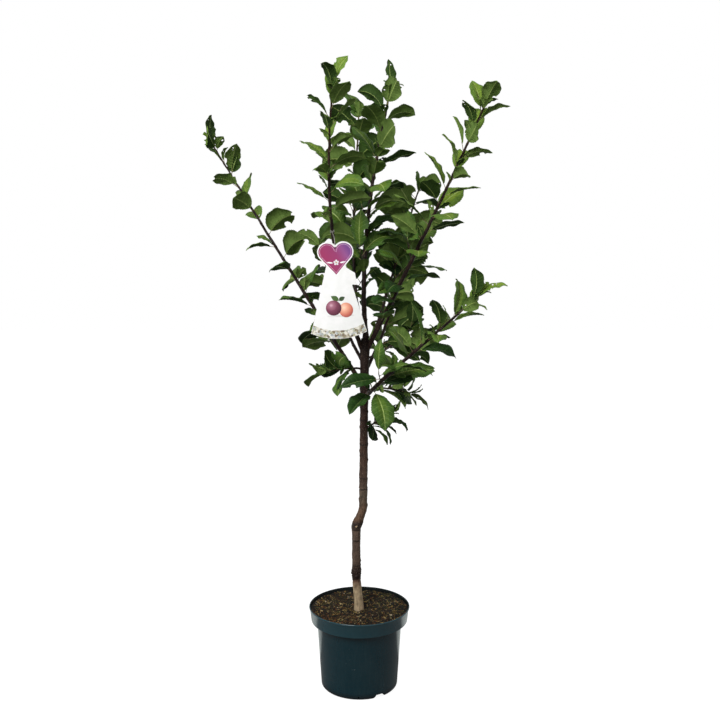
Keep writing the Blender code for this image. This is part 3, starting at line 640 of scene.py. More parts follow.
def tube(points: Array, radii: Array, sides: int, tip: float = 0.6) -> tuple[Array, list]:
    """A round limb closed at both ends.

    Args:
        points: Its middle line.
        radii: Its radius at each point, or at each point and side.
        sides: How many sides it has.
        tip: How far its ends bulge, as a share of their radius.

    Returns:
        The points, row by row and then one for each end, and the faces.
    """
    ahead = np.gradient(points, axis=0)
    ahead /= np.linalg.norm(ahead, axis=1)[:, None]
    radii = np.broadcast_to(np.asarray(radii, float).reshape(len(points), -1), (len(points), sides))
    turns = np.arange(sides) * 2 * math.pi / sides
    side = outward(ahead[0], 0.0)
    rings = []
    for point, step, radius in zip(points, ahead, radii):
        side = unit(side - step * side.dot(step))
        spokes = np.outer(np.cos(turns), side) + np.outer(np.sin(turns), np.cross(step, side))
        rings.append(point + spokes * radius[:, None])
    ends = [points[0] - ahead[0] * radii[0].mean() * tip, points[-1] + ahead[-1] * radii[-1].mean() * tip]
    verts = np.vstack([*rings, *ends])
    low = np.arange(len(points) - 1)[:, None] * sides
    here, back = np.arange(sides), (np.arange(sides) - 1) % sides
    quads = np.stack([low + back, low + here, low + here + sides, low + back + sides], axis=2).reshape(-1, 4)
    top = (len(points) - 1) * sides
    first, last = np.full(sides, len(verts) - 2), np.full(sides, len(verts) - 1)
    caps = np.vstack([np.stack([first, here, back], 1), np.stack([last, top + back, top + here], 1)])
    return verts, [quads, caps]


# The growing rule, as in the solids


@dataclass(frozen=True)
class Swelling:
    """A ring or bulge of the trunk: its height above the floor, half its length and how proud it is."""

    height: float
    reach: float
    proud: float


@dataclass(frozen=True)
class TrunkLine:
    """The trunk's middle line and its thickness, by height."""

    soil: float = 0.2075
    fork: float = 0.922
    foot_x: float = -0.0010
    sway_x: float = -0.0068
    sway_top: float = 0.300
    kink_low: float = 0.424
    kink_high: float = 0.486
    kink_shift: float = 0.0175
    lean_x: float = 0.0042
    radii: Pair = (11.2 * MM, 10.0 * MM)
    dome_height: float = 0.012
    dome_shrink: float = 0.25
    samples: int = 80
    swellings: tuple[Swelling, ...] = (
        Swelling(0.2075, 0.014, 1.6 * MM),
        Swelling(0.318, 0.014, 0.5 * MM),
        Swelling(0.437, 0.015, 2.3 * MM),
        Swelling(0.890, 0.060, 1.5 * MM),
    )

    def centre(self, height: float) -> Array:
        """The trunk's middle at a height: a slight sway, the kink of the old cut, and a slight lean."""
        sway = self.sway_x * eased((height - self.soil) / (self.sway_top - self.soil))
        kink = self.kink_shift * eased((height - self.kink_low) / (self.kink_high - self.kink_low))
        lean = self.lean_x * max(0.0, height - self.kink_high) / (self.fork - self.kink_high)
        return np.array([self.foot_x + sway + kink + lean, 0.0, height])

    def radius(self, height: float) -> float:
        """The trunk's radius at a height: an even taper, its swellings and the dome under the fork."""
        radius = between(self.radii, (height - self.soil) / (self.fork - self.soil))
        for swelling in self.swellings:
            radius += swelling.proud * math.exp(-((height - swelling.height) / swelling.reach) ** 2)
        dome = max(0.0, 1 - (self.fork - height) / self.dome_height)
        return radius * (1 - self.dome_shrink * dome ** 2)

    def line(self) -> Array:
        """Middle points and radii up the trunk."""
        heights = np.linspace(self.soil, self.fork, self.samples)
        return np.array([[*self.centre(height), self.radius(height)] for height in heights])


@dataclass(frozen=True)
class Shoot:
    """One limb of the plant from its foot to its tip: a bare bough, then the stem of a leafy mass.

    Headings and leans are degrees at the foot and at the tip: heading 0 is +X and 90 is +Y, lean 0 is
    upright. A larger settle keeps less of the foot's direction. Other pairs are foot and tip values too.
    """

    name: str
    foot: Triple
    heading: Pair
    lean: Pair
    settle: float
    length: float
    bare: float
    radius: Pair
    leaves: int
    twigs: int
    blade: Pair
    breadth: float
    spread: Pair
    recurve: float
    turn: float
    seed: int
    shortest_bough: float = 0.05
    steps: int = 40
    line_samples: int = 60
    collar_proud: float = 0.35
    collar_reach: float = 0.018

    @property
    def has_bough(self) -> bool:
        """A long bare foot is a bough of its own, and a spray's short one belongs to its mass."""
        return self.bare > self.shortest_bough

    def axis(self) -> Array:
        """Evenly spaced points along the shoot."""
        start, end = (direction(*way) for way in zip(self.heading, self.lean))
        points = [np.array(self.foot, float)]
        for step in range(self.steps):
            share = (1 - (step + 0.5) / self.steps) ** self.settle
            points.append(points[-1] + unit(start * share + end * (1 - share)) * self.length / self.steps)
        return np.array(points)

    def line(self) -> Array:
        """Evenly spaced points on the axis, fewer or more than its own."""
        axis = self.axis()
        return np.array([along(axis, share)[0] for share in np.linspace(0, 1, self.line_samples)])

    def radius_at(self, share: float) -> float:
        """The radius at a share of the length, with the collar at the foot."""
        collar = self.collar_proud * math.exp(-share * self.length / self.collar_reach)
        return between(self.radius, share) * (1 + collar)

    def stretch(self, lengths: Array) -> tuple[Array, Array]:
        """The middle points and the radii at some lengths from the foot."""
        axis = self.axis()
        points = np.array([along(axis, length / self.length)[0] for length in lengths])
        return points, np.array([self.radius_at(length / self.length) for length in lengths])

    def node_share(self, node: int) -> float:
        """The share of the length at which a leaf or twig grows. The last one is the tip."""
        if node == self.leaves:
            return 1.0
        return between((self.bare, self.length), (node + 0.5) / self.leaves) / self.length


SHOOTS = (
    Shoot("right_leader", (0.0165, 0, 0.9223), (122, -4), (10, 12), 1.67, 0.609, 0.060,
          (6.6 * MM, 2.4 * MM), 25, 2, (0.100, 0.075), 0.60, (60, 34), 50, 230, 276),
    Shoot("left_leader", (0.0110, 0, 0.885), (-153, -66), (25, 13), 1.35, 0.658, 0.328,
          (5.6 * MM, 2.2 * MM), 17, 0, (0.084, 0.062), 0.57, (58, 26), 42, 100, 431),
    Shoot("right_bough", (0.0150, 0.002, 0.884), (-30, -47), (29, 29), 0.40, 0.667, 0.088,
          (6.2 * MM, 2.2 * MM), 30, 1, (0.100, 0.068), 0.53, (64, 30), 39, 280, 643),
    Shoot("back_leader", (0.0165, 0, 0.932), (107, 65), (63, 7), 3.00, 0.598, 0.080,
          (4.6 * MM, 2.0 * MM), 26, 4, (0.092, 0.069), 0.76, (60, 42), 50, 350, 919),
    Shoot("right_back_bough", (0.0375, -0.003, 0.930), (70, 63), (45, 37), 1.80, 0.467, 0.070,
          (4.2 * MM, 1.9 * MM), 20, 4, (0.091, 0.069), 0.76, (60, 58), 50, 120, 215),
    Shoot("left_bough", (0.0128, -0.001, 0.795), (172, 172), (33, 32), 3.00, 0.712, 0.124,
          (5.6 * MM, 1.9 * MM), 17, 0, (0.074, 0.062), 0.82, (66, 30), 38, 120, 709),
    Shoot("low_right_bough", (0.0131, 0, 0.766), (-95, -15), (78, 48), 3.00, 0.460, 0.075,
          (6.2 * MM, 2.2 * MM), 19, 2, (0.098, 0.076), 0.48, (62, 34), 45, 130, 947),
    Shoot("back_bough", (0.0125, 0, 0.832), (62, 82), (54, 40), 1.00, 0.470, 0.080,
          (4.6 * MM, 1.8 * MM), 19, 3, (0.092, 0.068), 0.64, (62, 50), 42, 100, 137),
    Shoot("left_back_bough", (0.0125, 0.001, 0.856), (118, 104), (58, 36), 1.00, 0.410, 0.078,
          (4.4 * MM, 1.8 * MM), 13, 0, (0.088, 0.067), 0.60, (62, 44), 50, 260, 968),
    Shoot("inner_spray", (0.0130, 0, 0.868), (-10, 20), (70, 45), 1.00, 0.140, 0.020,
          (2.6 * MM, 1.5 * MM), 12, 2, (0.081, 0.064), 0.61, (66, 75), 42, 240, 854),
    Shoot("hanging_spray", (0.0125, 0, 0.785), (10, -10), (72, 112), 1.00, 0.110, 0.020,
          (2.5 * MM, 1.5 * MM), 10, 0, (0.083, 0.068), 0.49, (60, 47), 49, 220, 70),
    Shoot("left_spray", (0.0120, 0, 0.843), (-140, -165), (76, 102), 1.00, 0.090, 0.020,
          (2.5 * MM, 1.5 * MM), 7, 0, (0.074, 0.064), 0.74, (60, 35), 49, 130, 687),
    Shoot("low_spray", (0.0118, 0, 0.688), (-37, -20), (58, 62), 1.00, 0.088, 0.018,
          (2.0 * MM, 1.3 * MM), 12, 1, (0.056, 0.050), 0.48, (80, 51), 50, 310, 401),
)


@dataclass(frozen=True)
class Leaf:
    """One leaf: a petiole and a folded blade that curls back, in the plane of its stem and its way out."""

    root: Array
    stem: Array
    out: Array
    angle: float
    petiole: float
    blade: float
    half_width: float
    recurve: float
    fold: float
    roll: float
    twist: float
    shoulder: float
    point: float
    curl_power: float = 1.2
    steps: int = 16
    samples_along: int = 7

    def midrib(self, shares: Array) -> tuple[Array, Array, Array]:
        """Points, sideways directions and upper normals at shares of the blade, from its foot to its tip."""
        fine = np.arange(self.steps) + 0.5
        bend = self.angle + self.recurve * (fine / self.steps) ** self.curl_power
        steps = np.outer(np.cos(bend), self.stem) + np.outer(np.sin(bend), self.out)
        foot = self.root + (math.cos(self.angle) * self.stem + math.sin(self.angle) * self.out) * self.petiole
        path = np.vstack([foot, foot + np.cumsum(steps, axis=0) * self.blade / self.steps])
        shares = np.asarray(shares, float)
        bend = self.angle + self.recurve * shares ** self.curl_power
        ahead = np.outer(np.cos(bend), self.stem) + np.outer(np.sin(bend), self.out)
        normal = np.outer(np.sin(bend), self.stem) - np.outer(np.cos(bend), self.out)
        side = np.cross(ahead, normal)
        turn = self.roll + self.twist * shares
        cos, sin = np.cos(turn)[:, None], np.sin(turn)[:, None]
        side, normal = side * cos + normal * sin, normal * cos - side * sin
        index = shares * self.steps
        low = np.minimum(index.astype(int), self.steps - 1)
        return path[low] + (path[low + 1] - path[low]) * (index - low)[:, None], side, normal

    def half_widths(self, shares: Array) -> Array:
        """Half the blade's width at shares of its length."""
        peak = self.shoulder / (self.shoulder + self.point)
        most = peak ** self.shoulder * (1 - peak) ** self.point
        return self.half_width * shares ** self.shoulder * (1 - shares) ** self.point / most

    def samples(self) -> Array:
        """Points on the blade that stand for it where its room is tested."""
        shares = np.linspace(0, 1, self.samples_along)
        points, side, normal = self.midrib(shares)
        width = self.half_widths(shares)[:, None]
        across, lift = side * width * math.cos(self.fold), normal * width * math.sin(self.fold)
        return np.vstack([(points - across + lift)[1:-1], points[1:], (points + across + lift)[1:-1]])


class Space:
    """The room that one mass keeps to, and what grows in it so far."""

    limb_gap = 4.0 * MM
    space_gap = 3.0 * MM
    sibling_gap = 6.0 * MM
    label_low = np.array([-0.120, -0.300, 0.905])
    label_high = np.array([0.024, -0.035, 1.175])
    trunk = TrunkLine().line()
    lines = {shoot.name: shoot.line() for shoot in SHOOTS}

    def __init__(self, shoot: Shoot) -> None:
        """Starts an empty room round a shoot."""
        self.own = self.lines[shoot.name]
        self.others = [line for name, line in self.lines.items() if name != shoot.name]
        self.bough = self.own[:int(shoot.line_samples * shoot.bare / shoot.length)]
        self.bough_radius = shoot.radius[0] + self.limb_gap
        self.filled: list[Array] = []

    def takes(self, samples: Array, gap: float = sibling_gap) -> bool:
        """Whether a leaf or twig fits in, which then counts as grown."""
        if np.any(np.all((samples > self.label_low) & (samples < self.label_high), axis=1)):
            return False
        if np.any(distances(samples, self.trunk[:, :3]) < self.trunk[:, 3] + self.limb_gap):
            return False
        if np.any(distances(samples, self.bough) < self.bough_radius):
            return False
        own = distances(samples, self.own).min(axis=1)
        if any(np.any(distances(samples, line).min(axis=1) - own < self.space_gap) for line in self.others):
            return False
        if any(np.any(distances(samples, other) < gap) for other in self.filled):
            return False
        self.filled.append(samples)
        return True


@dataclass(frozen=True)
class Growth:
    """The rule that deals out twigs and leaves along a shoot, in degrees where it has angles."""

    divergence: float = 144.0
    turn_jitter: float = 40.0
    spread_jitter: float = 26.0
    spread_power: float = 1.3
    tip_leaf_spread: Pair = (6.0, 20.0)
    skyward: float = 0.40
    light: Triple = (0.0, -0.55, 0.835)
    to_light: float = 0.55
    most_roll: float = 1.3
    roll_jitter: float = 75.0
    twist_jitter: float = 60.0
    middle_curl: float = 0.4
    recurve_share: Pair = (0.30, 1.50)
    fold: Pair = (6.0, 36.0)
    size_share: Pair = (0.84, 1.16)
    breadth_share: Pair = (0.85, 1.15)
    shoulder: Pair = (0.55, 0.80)
    point: Pair = (0.42, 0.62)
    twig_length: float = 0.042
    twig_length_share: Pair = (0.8, 1.2)
    twig_spread: float = 48.0
    twig_leaves: int = 3
    twig_radius: float = 1.1 * MM
    twig_steps: int = 3
    twig_lift: float = 0.12
    twig_leaf_size: float = 0.8
    twig_zone: float = 0.6
    petiole: Pair = (0.010, 0.019)
    sink: float = 0.4
    aside: tuple[int, ...] = (0, 35, -35, 70, -70, 110, -110)
    young_gap: float = 3.5 * MM
    young_chance: float = 0.75
    young_size: Pair = (0.38, 0.66)
    young_at_tip: int = 3

    def new_leaf(self, shoot: Shoot, draws: Array, place: Array, stem: Array, turn: float,
                 age: float, radius: float, size: float, is_tip: bool) -> Leaf:
        """The leaf that a shoot bears at a place, from ten even draws between 0 and 1.

        Args:
            shoot: The shoot, for its leaves' sizes.
            draws: The ten draws.
            place: The middle of the stem there.
            stem: The stem's direction.
            turn: Which way the leaf grows, in degrees round the stem.
            age: 0 at the foot of the mass and 1 at its tip, where leaves are youngest.
            radius: The stem's radius.
            size: A share that makes it smaller.
            is_tip: Whether it ends the stem.

        Returns:
            The leaf, rolled part of the way to the light.
        """
        out = outward(stem, turn)
        sky = unit(stem + UP * self.skyward)
        across = unit(out - sky * out.dot(sky))
        spread = between(shoot.spread, age ** self.spread_power) + self.spread_jitter * (draws[0] - 0.5)
        angle = math.radians(between(self.tip_leaf_spread, draws[0]) if is_tip else spread)
        recurve = math.radians(shoot.recurve * between(self.recurve_share, draws[4]))
        middle = angle + self.middle_curl * recurve
        normal = math.sin(middle) * sky - math.cos(middle) * across
        side = np.cross(math.cos(middle) * sky + math.sin(middle) * across, normal)
        light = np.array(self.light)
        wanted = max(-self.most_roll, min(self.most_roll, math.atan2(light.dot(side), light.dot(normal))))
        blade = between(shoot.blade, age) * between(self.size_share, draws[1]) * size
        return Leaf(
            root=place + out * radius * self.sink,
            stem=sky,
            out=across,
            angle=angle,
            petiole=between(self.petiole, draws[2]),
            blade=blade,
            half_width=0.5 * blade * shoot.breadth * between(self.breadth_share, draws[3]),
            recurve=recurve,
            fold=math.radians(between(self.fold, draws[5])),
            roll=wanted * self.to_light + math.radians(self.roll_jitter * (draws[6] - 0.5)),
            twist=math.radians(self.twist_jitter * (draws[9] - 0.5)),
            shoulder=between(self.shoulder, draws[7]),
            point=between(self.point, draws[8]),
        )

    def new_twig(self, place: Array, stem: Array, turn: float, radius: float, draw: float) -> Array:
        """The line of a short twig that leaves the stem at an angle and bends up a little."""
        out = outward(stem, turn)
        spread = math.radians(self.twig_spread)
        ahead = stem * math.cos(spread) + out * math.sin(spread)
        length = self.twig_length * between(self.twig_length_share, draw)
        points = [place + out * radius * self.sink]
        for _ in range(self.twig_steps):
            ahead = unit(ahead + UP * self.twig_lift)
            points.append(points[-1] + ahead * length / self.twig_steps)
        return np.array(points)

    def grow(self, shoot: Shoot) -> tuple[list[Array], list[Leaf], list[Leaf]]:
        """The twigs and leaves of a shoot's mass, as its seed deals them out, and then its young leaves."""
        rng = np.random.default_rng(shoot.seed)
        axis = shoot.axis()
        space = Space(shoot)
        twig_step = shoot.leaves * self.twig_zone / (shoot.twigs + 1)
        twig_nodes = {int((number + 1) * twig_step) for number in range(shoot.twigs)}
        twigs: list[Array] = []
        leaves: list[Leaf] = []
        for node in range(shoot.leaves + 1):
            is_tip = node == shoot.leaves
            age = min((node + 0.5) / shoot.leaves, 1.0)
            share = shoot.node_share(node)
            place, stem = along(axis, share)
            turn = shoot.turn + node * self.divergence + self.turn_jitter * (rng.random() - 0.5)
            radius = between(shoot.radius, share)
            draws = rng.random((1 + self.twig_leaves, 10))
            for aside in self.aside:
                if node in twig_nodes:
                    twig = self.new_twig(place, stem, turn + aside, radius, draws[0, 0])
                    if space.takes(twig[1:]):
                        twigs.append(twig)
                        leaves += self.on_twig(shoot, twig, draws[1:], turn + aside, age, space)
                        break
                else:
                    leaf = self.new_leaf(shoot, draws[0], place, stem, turn + aside, age, radius, 1.0, is_tip)
                    if space.takes(leaf.samples()):
                        leaves.append(leaf)
                        break
        return twigs, leaves, self.young(shoot, space)

    def on_twig(self, shoot: Shoot, twig: Array, draws: Array, turn: float, age: float,
                space: Space) -> list[Leaf]:
        """The leaves of one side twig, the last of them at its tip."""
        found: list[Leaf] = []
        for number in range(self.twig_leaves):
            is_tip = number == self.twig_leaves - 1
            place, stem = along(twig, (number + 1) / self.twig_leaves)
            for aside in self.aside:
                way = turn + number * self.divergence + aside
                leaf = self.new_leaf(shoot, draws[number], place, stem, way, age, self.twig_radius,
                                     self.twig_leaf_size, is_tip)
                if space.takes(leaf.samples()):
                    found.append(leaf)
                    break
        return found

    def young(self, shoot: Shoot, space: Space) -> list[Leaf]:
        """Small leaves in the axils and round the tip, finer than the solids show."""
        rng = np.random.default_rng(shoot.seed + 1)
        axis = shoot.axis()
        found: list[Leaf] = []
        for node in range(shoot.leaves + self.young_at_tip):
            at_tip = node >= shoot.leaves
            share = 0.992 if at_tip else shoot.node_share(node)
            chance, turn = rng.random(2)
            draws = rng.random(10)
            if not at_tip and chance > self.young_chance:
                continue
            place, stem = along(axis, share)
            for aside in self.aside:
                way = 360 * turn + aside
                size = between(self.young_size, draws[2])
                leaf = self.new_leaf(shoot, draws, place, stem, way, 1.0, shoot.radius[1], size, at_tip)
                leaf = replace(leaf, petiole=0.5 * leaf.petiole)
                if space.takes(leaf.samples(), self.young_gap):
                    found.append(leaf)
                    break
        return found


# Leaves as fine meshes


@dataclass(frozen=True)
class Blade:
    """How a blade is made: rows that sweep forward like its side veins, and columns from rib to edge."""

    veins: int = 9
    between_veins: int = 3
    columns: tuple[float, ...] = (0.048, 0.22, 0.44, 0.66, 0.86, 1.0)
    strip: float = 0.0042
    sweep: float = 0.15
    tooth: float = 0.036
    notch: float = -0.6
    thickness: float = 0.45 * MM
    puff: float = 0.55 * MM
    groove: float = 0.25 * MM
    rib: float = 0.55 * MM
    droop: float = 0.22
    ripple: float = 0.058
    slimmest: float = 0.45 * MM
    tip_slope: float = 3.8
    fuller: Pair = (1.04, 1.14)

    def rows(self) -> tuple[Array, Array, Array, Array]:
        """Each row's station on the rib, its bulge and its tooth, and which rows start a vein's strip."""
        rows = [(0.0, 0.0, 0.0, 0.0)]
        last = 0.0
        for vein in range(self.veins + 1):
            here = (vein + 0.7) / (self.veins + 0.7)
            end = here - self.strip if vein < self.veins else 1.0
            for step in range(self.between_veins):
                share = (step + 1) / (self.between_veins + 1)
                tooth = self.notch if step % 2 else 1.0
                rows.append((last + (end - last) * share, math.sin(math.pi * share), tooth, 0.0))
            if vein < self.veins:
                rows += [(here - self.strip, 0.0, self.notch, 1.0), (here + self.strip, 0.0, self.notch, 0.0)]
            last = here + self.strip
        stations, bulges, teeth, strips = np.array([*rows, (1.0, 0.0, 0.0, 0.0)]).T
        return stations, bulges, teeth, strips[:-1] > 0

    def outline(self, leaf: Leaf, shares: Array) -> Array:
        """Half the blade's width, with a pointed tip."""
        round_end = leaf.half_widths(shares) / leaf.half_width
        pointed = self.tip_slope * (1 - shares)
        share = round_end * pointed / np.maximum((round_end ** 4 + pointed ** 4) ** 0.25, 1e-9)
        return np.maximum(share * leaf.half_width, self.slimmest)

    def add(self, surface: Surface, leaf: Leaf, holes: Array, tint: Tint, back: Tint, rng: Dice) -> None:
        """Adds a leaf's blade to a surface.

        Args:
            surface: Where it goes.
            leaf: The leaf.
            holes: Each eaten hole's place along and across the blade, and its radius.
            tint: Its upper hue.
            back: Its lower hue.
            rng: Deals out the edge's waves.
        """
        leaf = replace(leaf, blade=leaf.blade * self.fuller[0], half_width=leaf.half_width * self.fuller[1])
        stations, bulges, teeth, strips = self.rows()
        columns = np.array([*(-value for value in reversed(self.columns)), *self.columns])
        count = len(columns)
        across = np.abs(columns)
        shares = stations[:, None] + self.sweep * across * 4 * (stations * (1 - stations))[:, None]
        size = np.ones_like(shares)
        jag = teeth * rng.uniform(0.5, 1.3, len(teeth)) * self.tooth
        size[:, [0, -1]] += jag[:, None]
        aside = columns * self.outline(leaf, shares) * size
        kept, ahead, aside, eaten = self.eat(shares * leaf.blade, aside, holes)

        shares = np.clip(ahead / leaf.blade, 0, 1)
        out = np.minimum(np.abs(aside) / self.outline(leaf, shares), 1.0)
        middle, side, normal = leaf.midrib(shares)
        slope = leaf.fold * (1.5 - 0.5 * out)
        waves = rng.uniform(2.0, 3.6, 2)
        phases = rng.uniform(0, 2 * math.pi, 2)
        left = (aside < 0).astype(int)
        wave = np.sin(2 * math.pi * waves[left] * shares + phases[left]) * self.ripple * leaf.blade
        lift = np.abs(aside) * (np.sin(slope) - self.droop * out ** 2)
        lift += wave * out ** 2 * shares * (1.3 - shares)
        lift += self.puff * np.repeat(bulges, count) * (1 - out ** 3)
        middle = middle + side * (aside * np.cos(slope))[:, None]
        vein = np.where(np.repeat(bulges == 0, count), 1 - out, 0.0)
        near_rib = np.tile(across < 2 * self.columns[0], len(stations))
        down = self.groove * np.where(near_rib, 1.0, 0.7 * vein)
        under = self.rib * np.where(near_rib, 1.1 - shares, 0.5 * vein)
        half = 0.5 * self.thickness
        upper = middle + normal * (lift + half - down)[:, None]
        lower = middle + normal * (lift - half - under)[:, None]

        slots = self.face_slots(tint, back, strips, count)
        faces, slots = self.join(kept, eaten, slots)
        used, faces = np.unique(faces, return_inverse=True)
        surface.add(np.vstack([upper, lower])[used], (faces.reshape(-1, 4), slots))

    def eat(self, ahead: Array, aside: Array, holes: Array) -> tuple[Array, Array, Array, Array]:
        """Takes the eaten holes out of a blade's cells, and draws their edges round.

        Args:
            ahead: How far along the blade each point lies, by row and column.
            aside: How far across it lies.
            holes: Each hole's place along and across, and its radius.

        Returns:
            Which cells are kept, the points' places along and across, and which points edge a hole.
        """
        kept = np.ones((ahead.shape[0] - 1, ahead.shape[1] - 1), bool)
        edge = np.zeros(ahead.shape, bool)
        for centre, off, radius in holes:
            far = np.hypot(ahead - centre, aside - off)
            middle = 0.25 * (far[:-1, :-1] + far[1:, :-1] + far[:-1, 1:] + far[1:, 1:])
            gone = middle < radius
            rim = self.corners(gone & kept) & self.corners(kept & ~gone)
            inside = (far < radius) & self.corners(kept & ~gone)
            kept &= ~gone
            moved = (rim | inside) & (far > 0.1 * radius)
            scale = radius / far[moved]
            ahead[moved] = centre + (ahead[moved] - centre) * scale
            aside[moved] = off + (aside[moved] - off) * scale
            edge |= moved
        return self.held(kept), ahead.ravel(), aside.ravel(), edge

    @staticmethod
    def held(kept: Array) -> Array:
        """The kept cells that still hang on the foot of the rib."""
        reached = np.zeros_like(kept)
        reached[0, kept.shape[1] // 2] = True
        for _ in range(sum(kept.shape)):
            wider = np.pad(reached, 1)
            wider = wider[:-2, 1:-1] | wider[2:, 1:-1] | wider[1:-1, :-2] | wider[1:-1, 2:] | reached
            reached = wider & kept
        return reached

    @staticmethod
    def corners(cells: Array) -> Array:
        """The points at the corners of some cells."""
        points = np.zeros((cells.shape[0] + 1, cells.shape[1] + 1), bool)
        for row in (slice(None, -1), slice(1, None)):
            for column in (slice(None, -1), slice(1, None)):
                points[row, column] |= cells
        return points

    def face_slots(self, tint: Tint, back: Tint, strips: Array, count: int) -> Array:
        """The upper and lower slot of each cell."""
        upper = np.full((len(strips), count - 1), SLOTS[tint])
        lower = np.full_like(upper, SLOTS[back])
        inner = np.abs(np.arange(count - 1) - (count - 2) / 2) < 3
        upper[2:-8, inner] = SLOTS[HEARTS.get(tint, tint)]
        # Leaves in painted shade get the dimmed vein and rib.
        upper[strips, 1:-1] = SLOTS[Tint.DIM_VEIN if tint in PAINTED_SHADE_TINTS else Tint.VEIN]
        upper[:, count // 2 - 1] = SLOTS[Tint.DIM_RIB if tint in PAINTED_SHADE_TINTS else Tint.RIB]
        lower[:, count // 2 - 1] = SLOTS[Tint.RIB]
        return np.stack([upper, lower])

    @staticmethod
    def join(kept: Array, eaten: Array, slots: Array) -> tuple[Array, Array]:
        """The faces of both skins and of the edge between them.

        Args:
            kept: Which cells are kept.
            eaten: Which points edge a hole.
            slots: Each cell's upper slots, and its lower ones.

        Returns:
            The faces, and the slot of each.
        """
        grid = np.arange(eaten.size).reshape(eaten.shape)
        under = eaten.size
        quads = np.stack([grid[:-1, :-1], grid[:-1, 1:], grid[1:, 1:], grid[1:, :-1]], axis=2)[kept]
        start, end = quads.ravel(), np.roll(quads, -1, axis=1).ravel()
        on_rim = ~np.isin(start * under + end, end * under + start)
        start, end = start[on_rim], end[on_rim]
        bitten = eaten.ravel()[start] & eaten.ravel()[end]
        walls = np.stack([end, start, start + under, end + under], axis=1)
        wall_slots = np.where(bitten, SLOTS[Tint.EATEN], slots[0, 0, 0])
        faces = np.vstack([quads, quads[:, ::-1] + under, walls])
        return faces, np.concatenate([slots[0][kept], slots[1][kept], wall_slots])


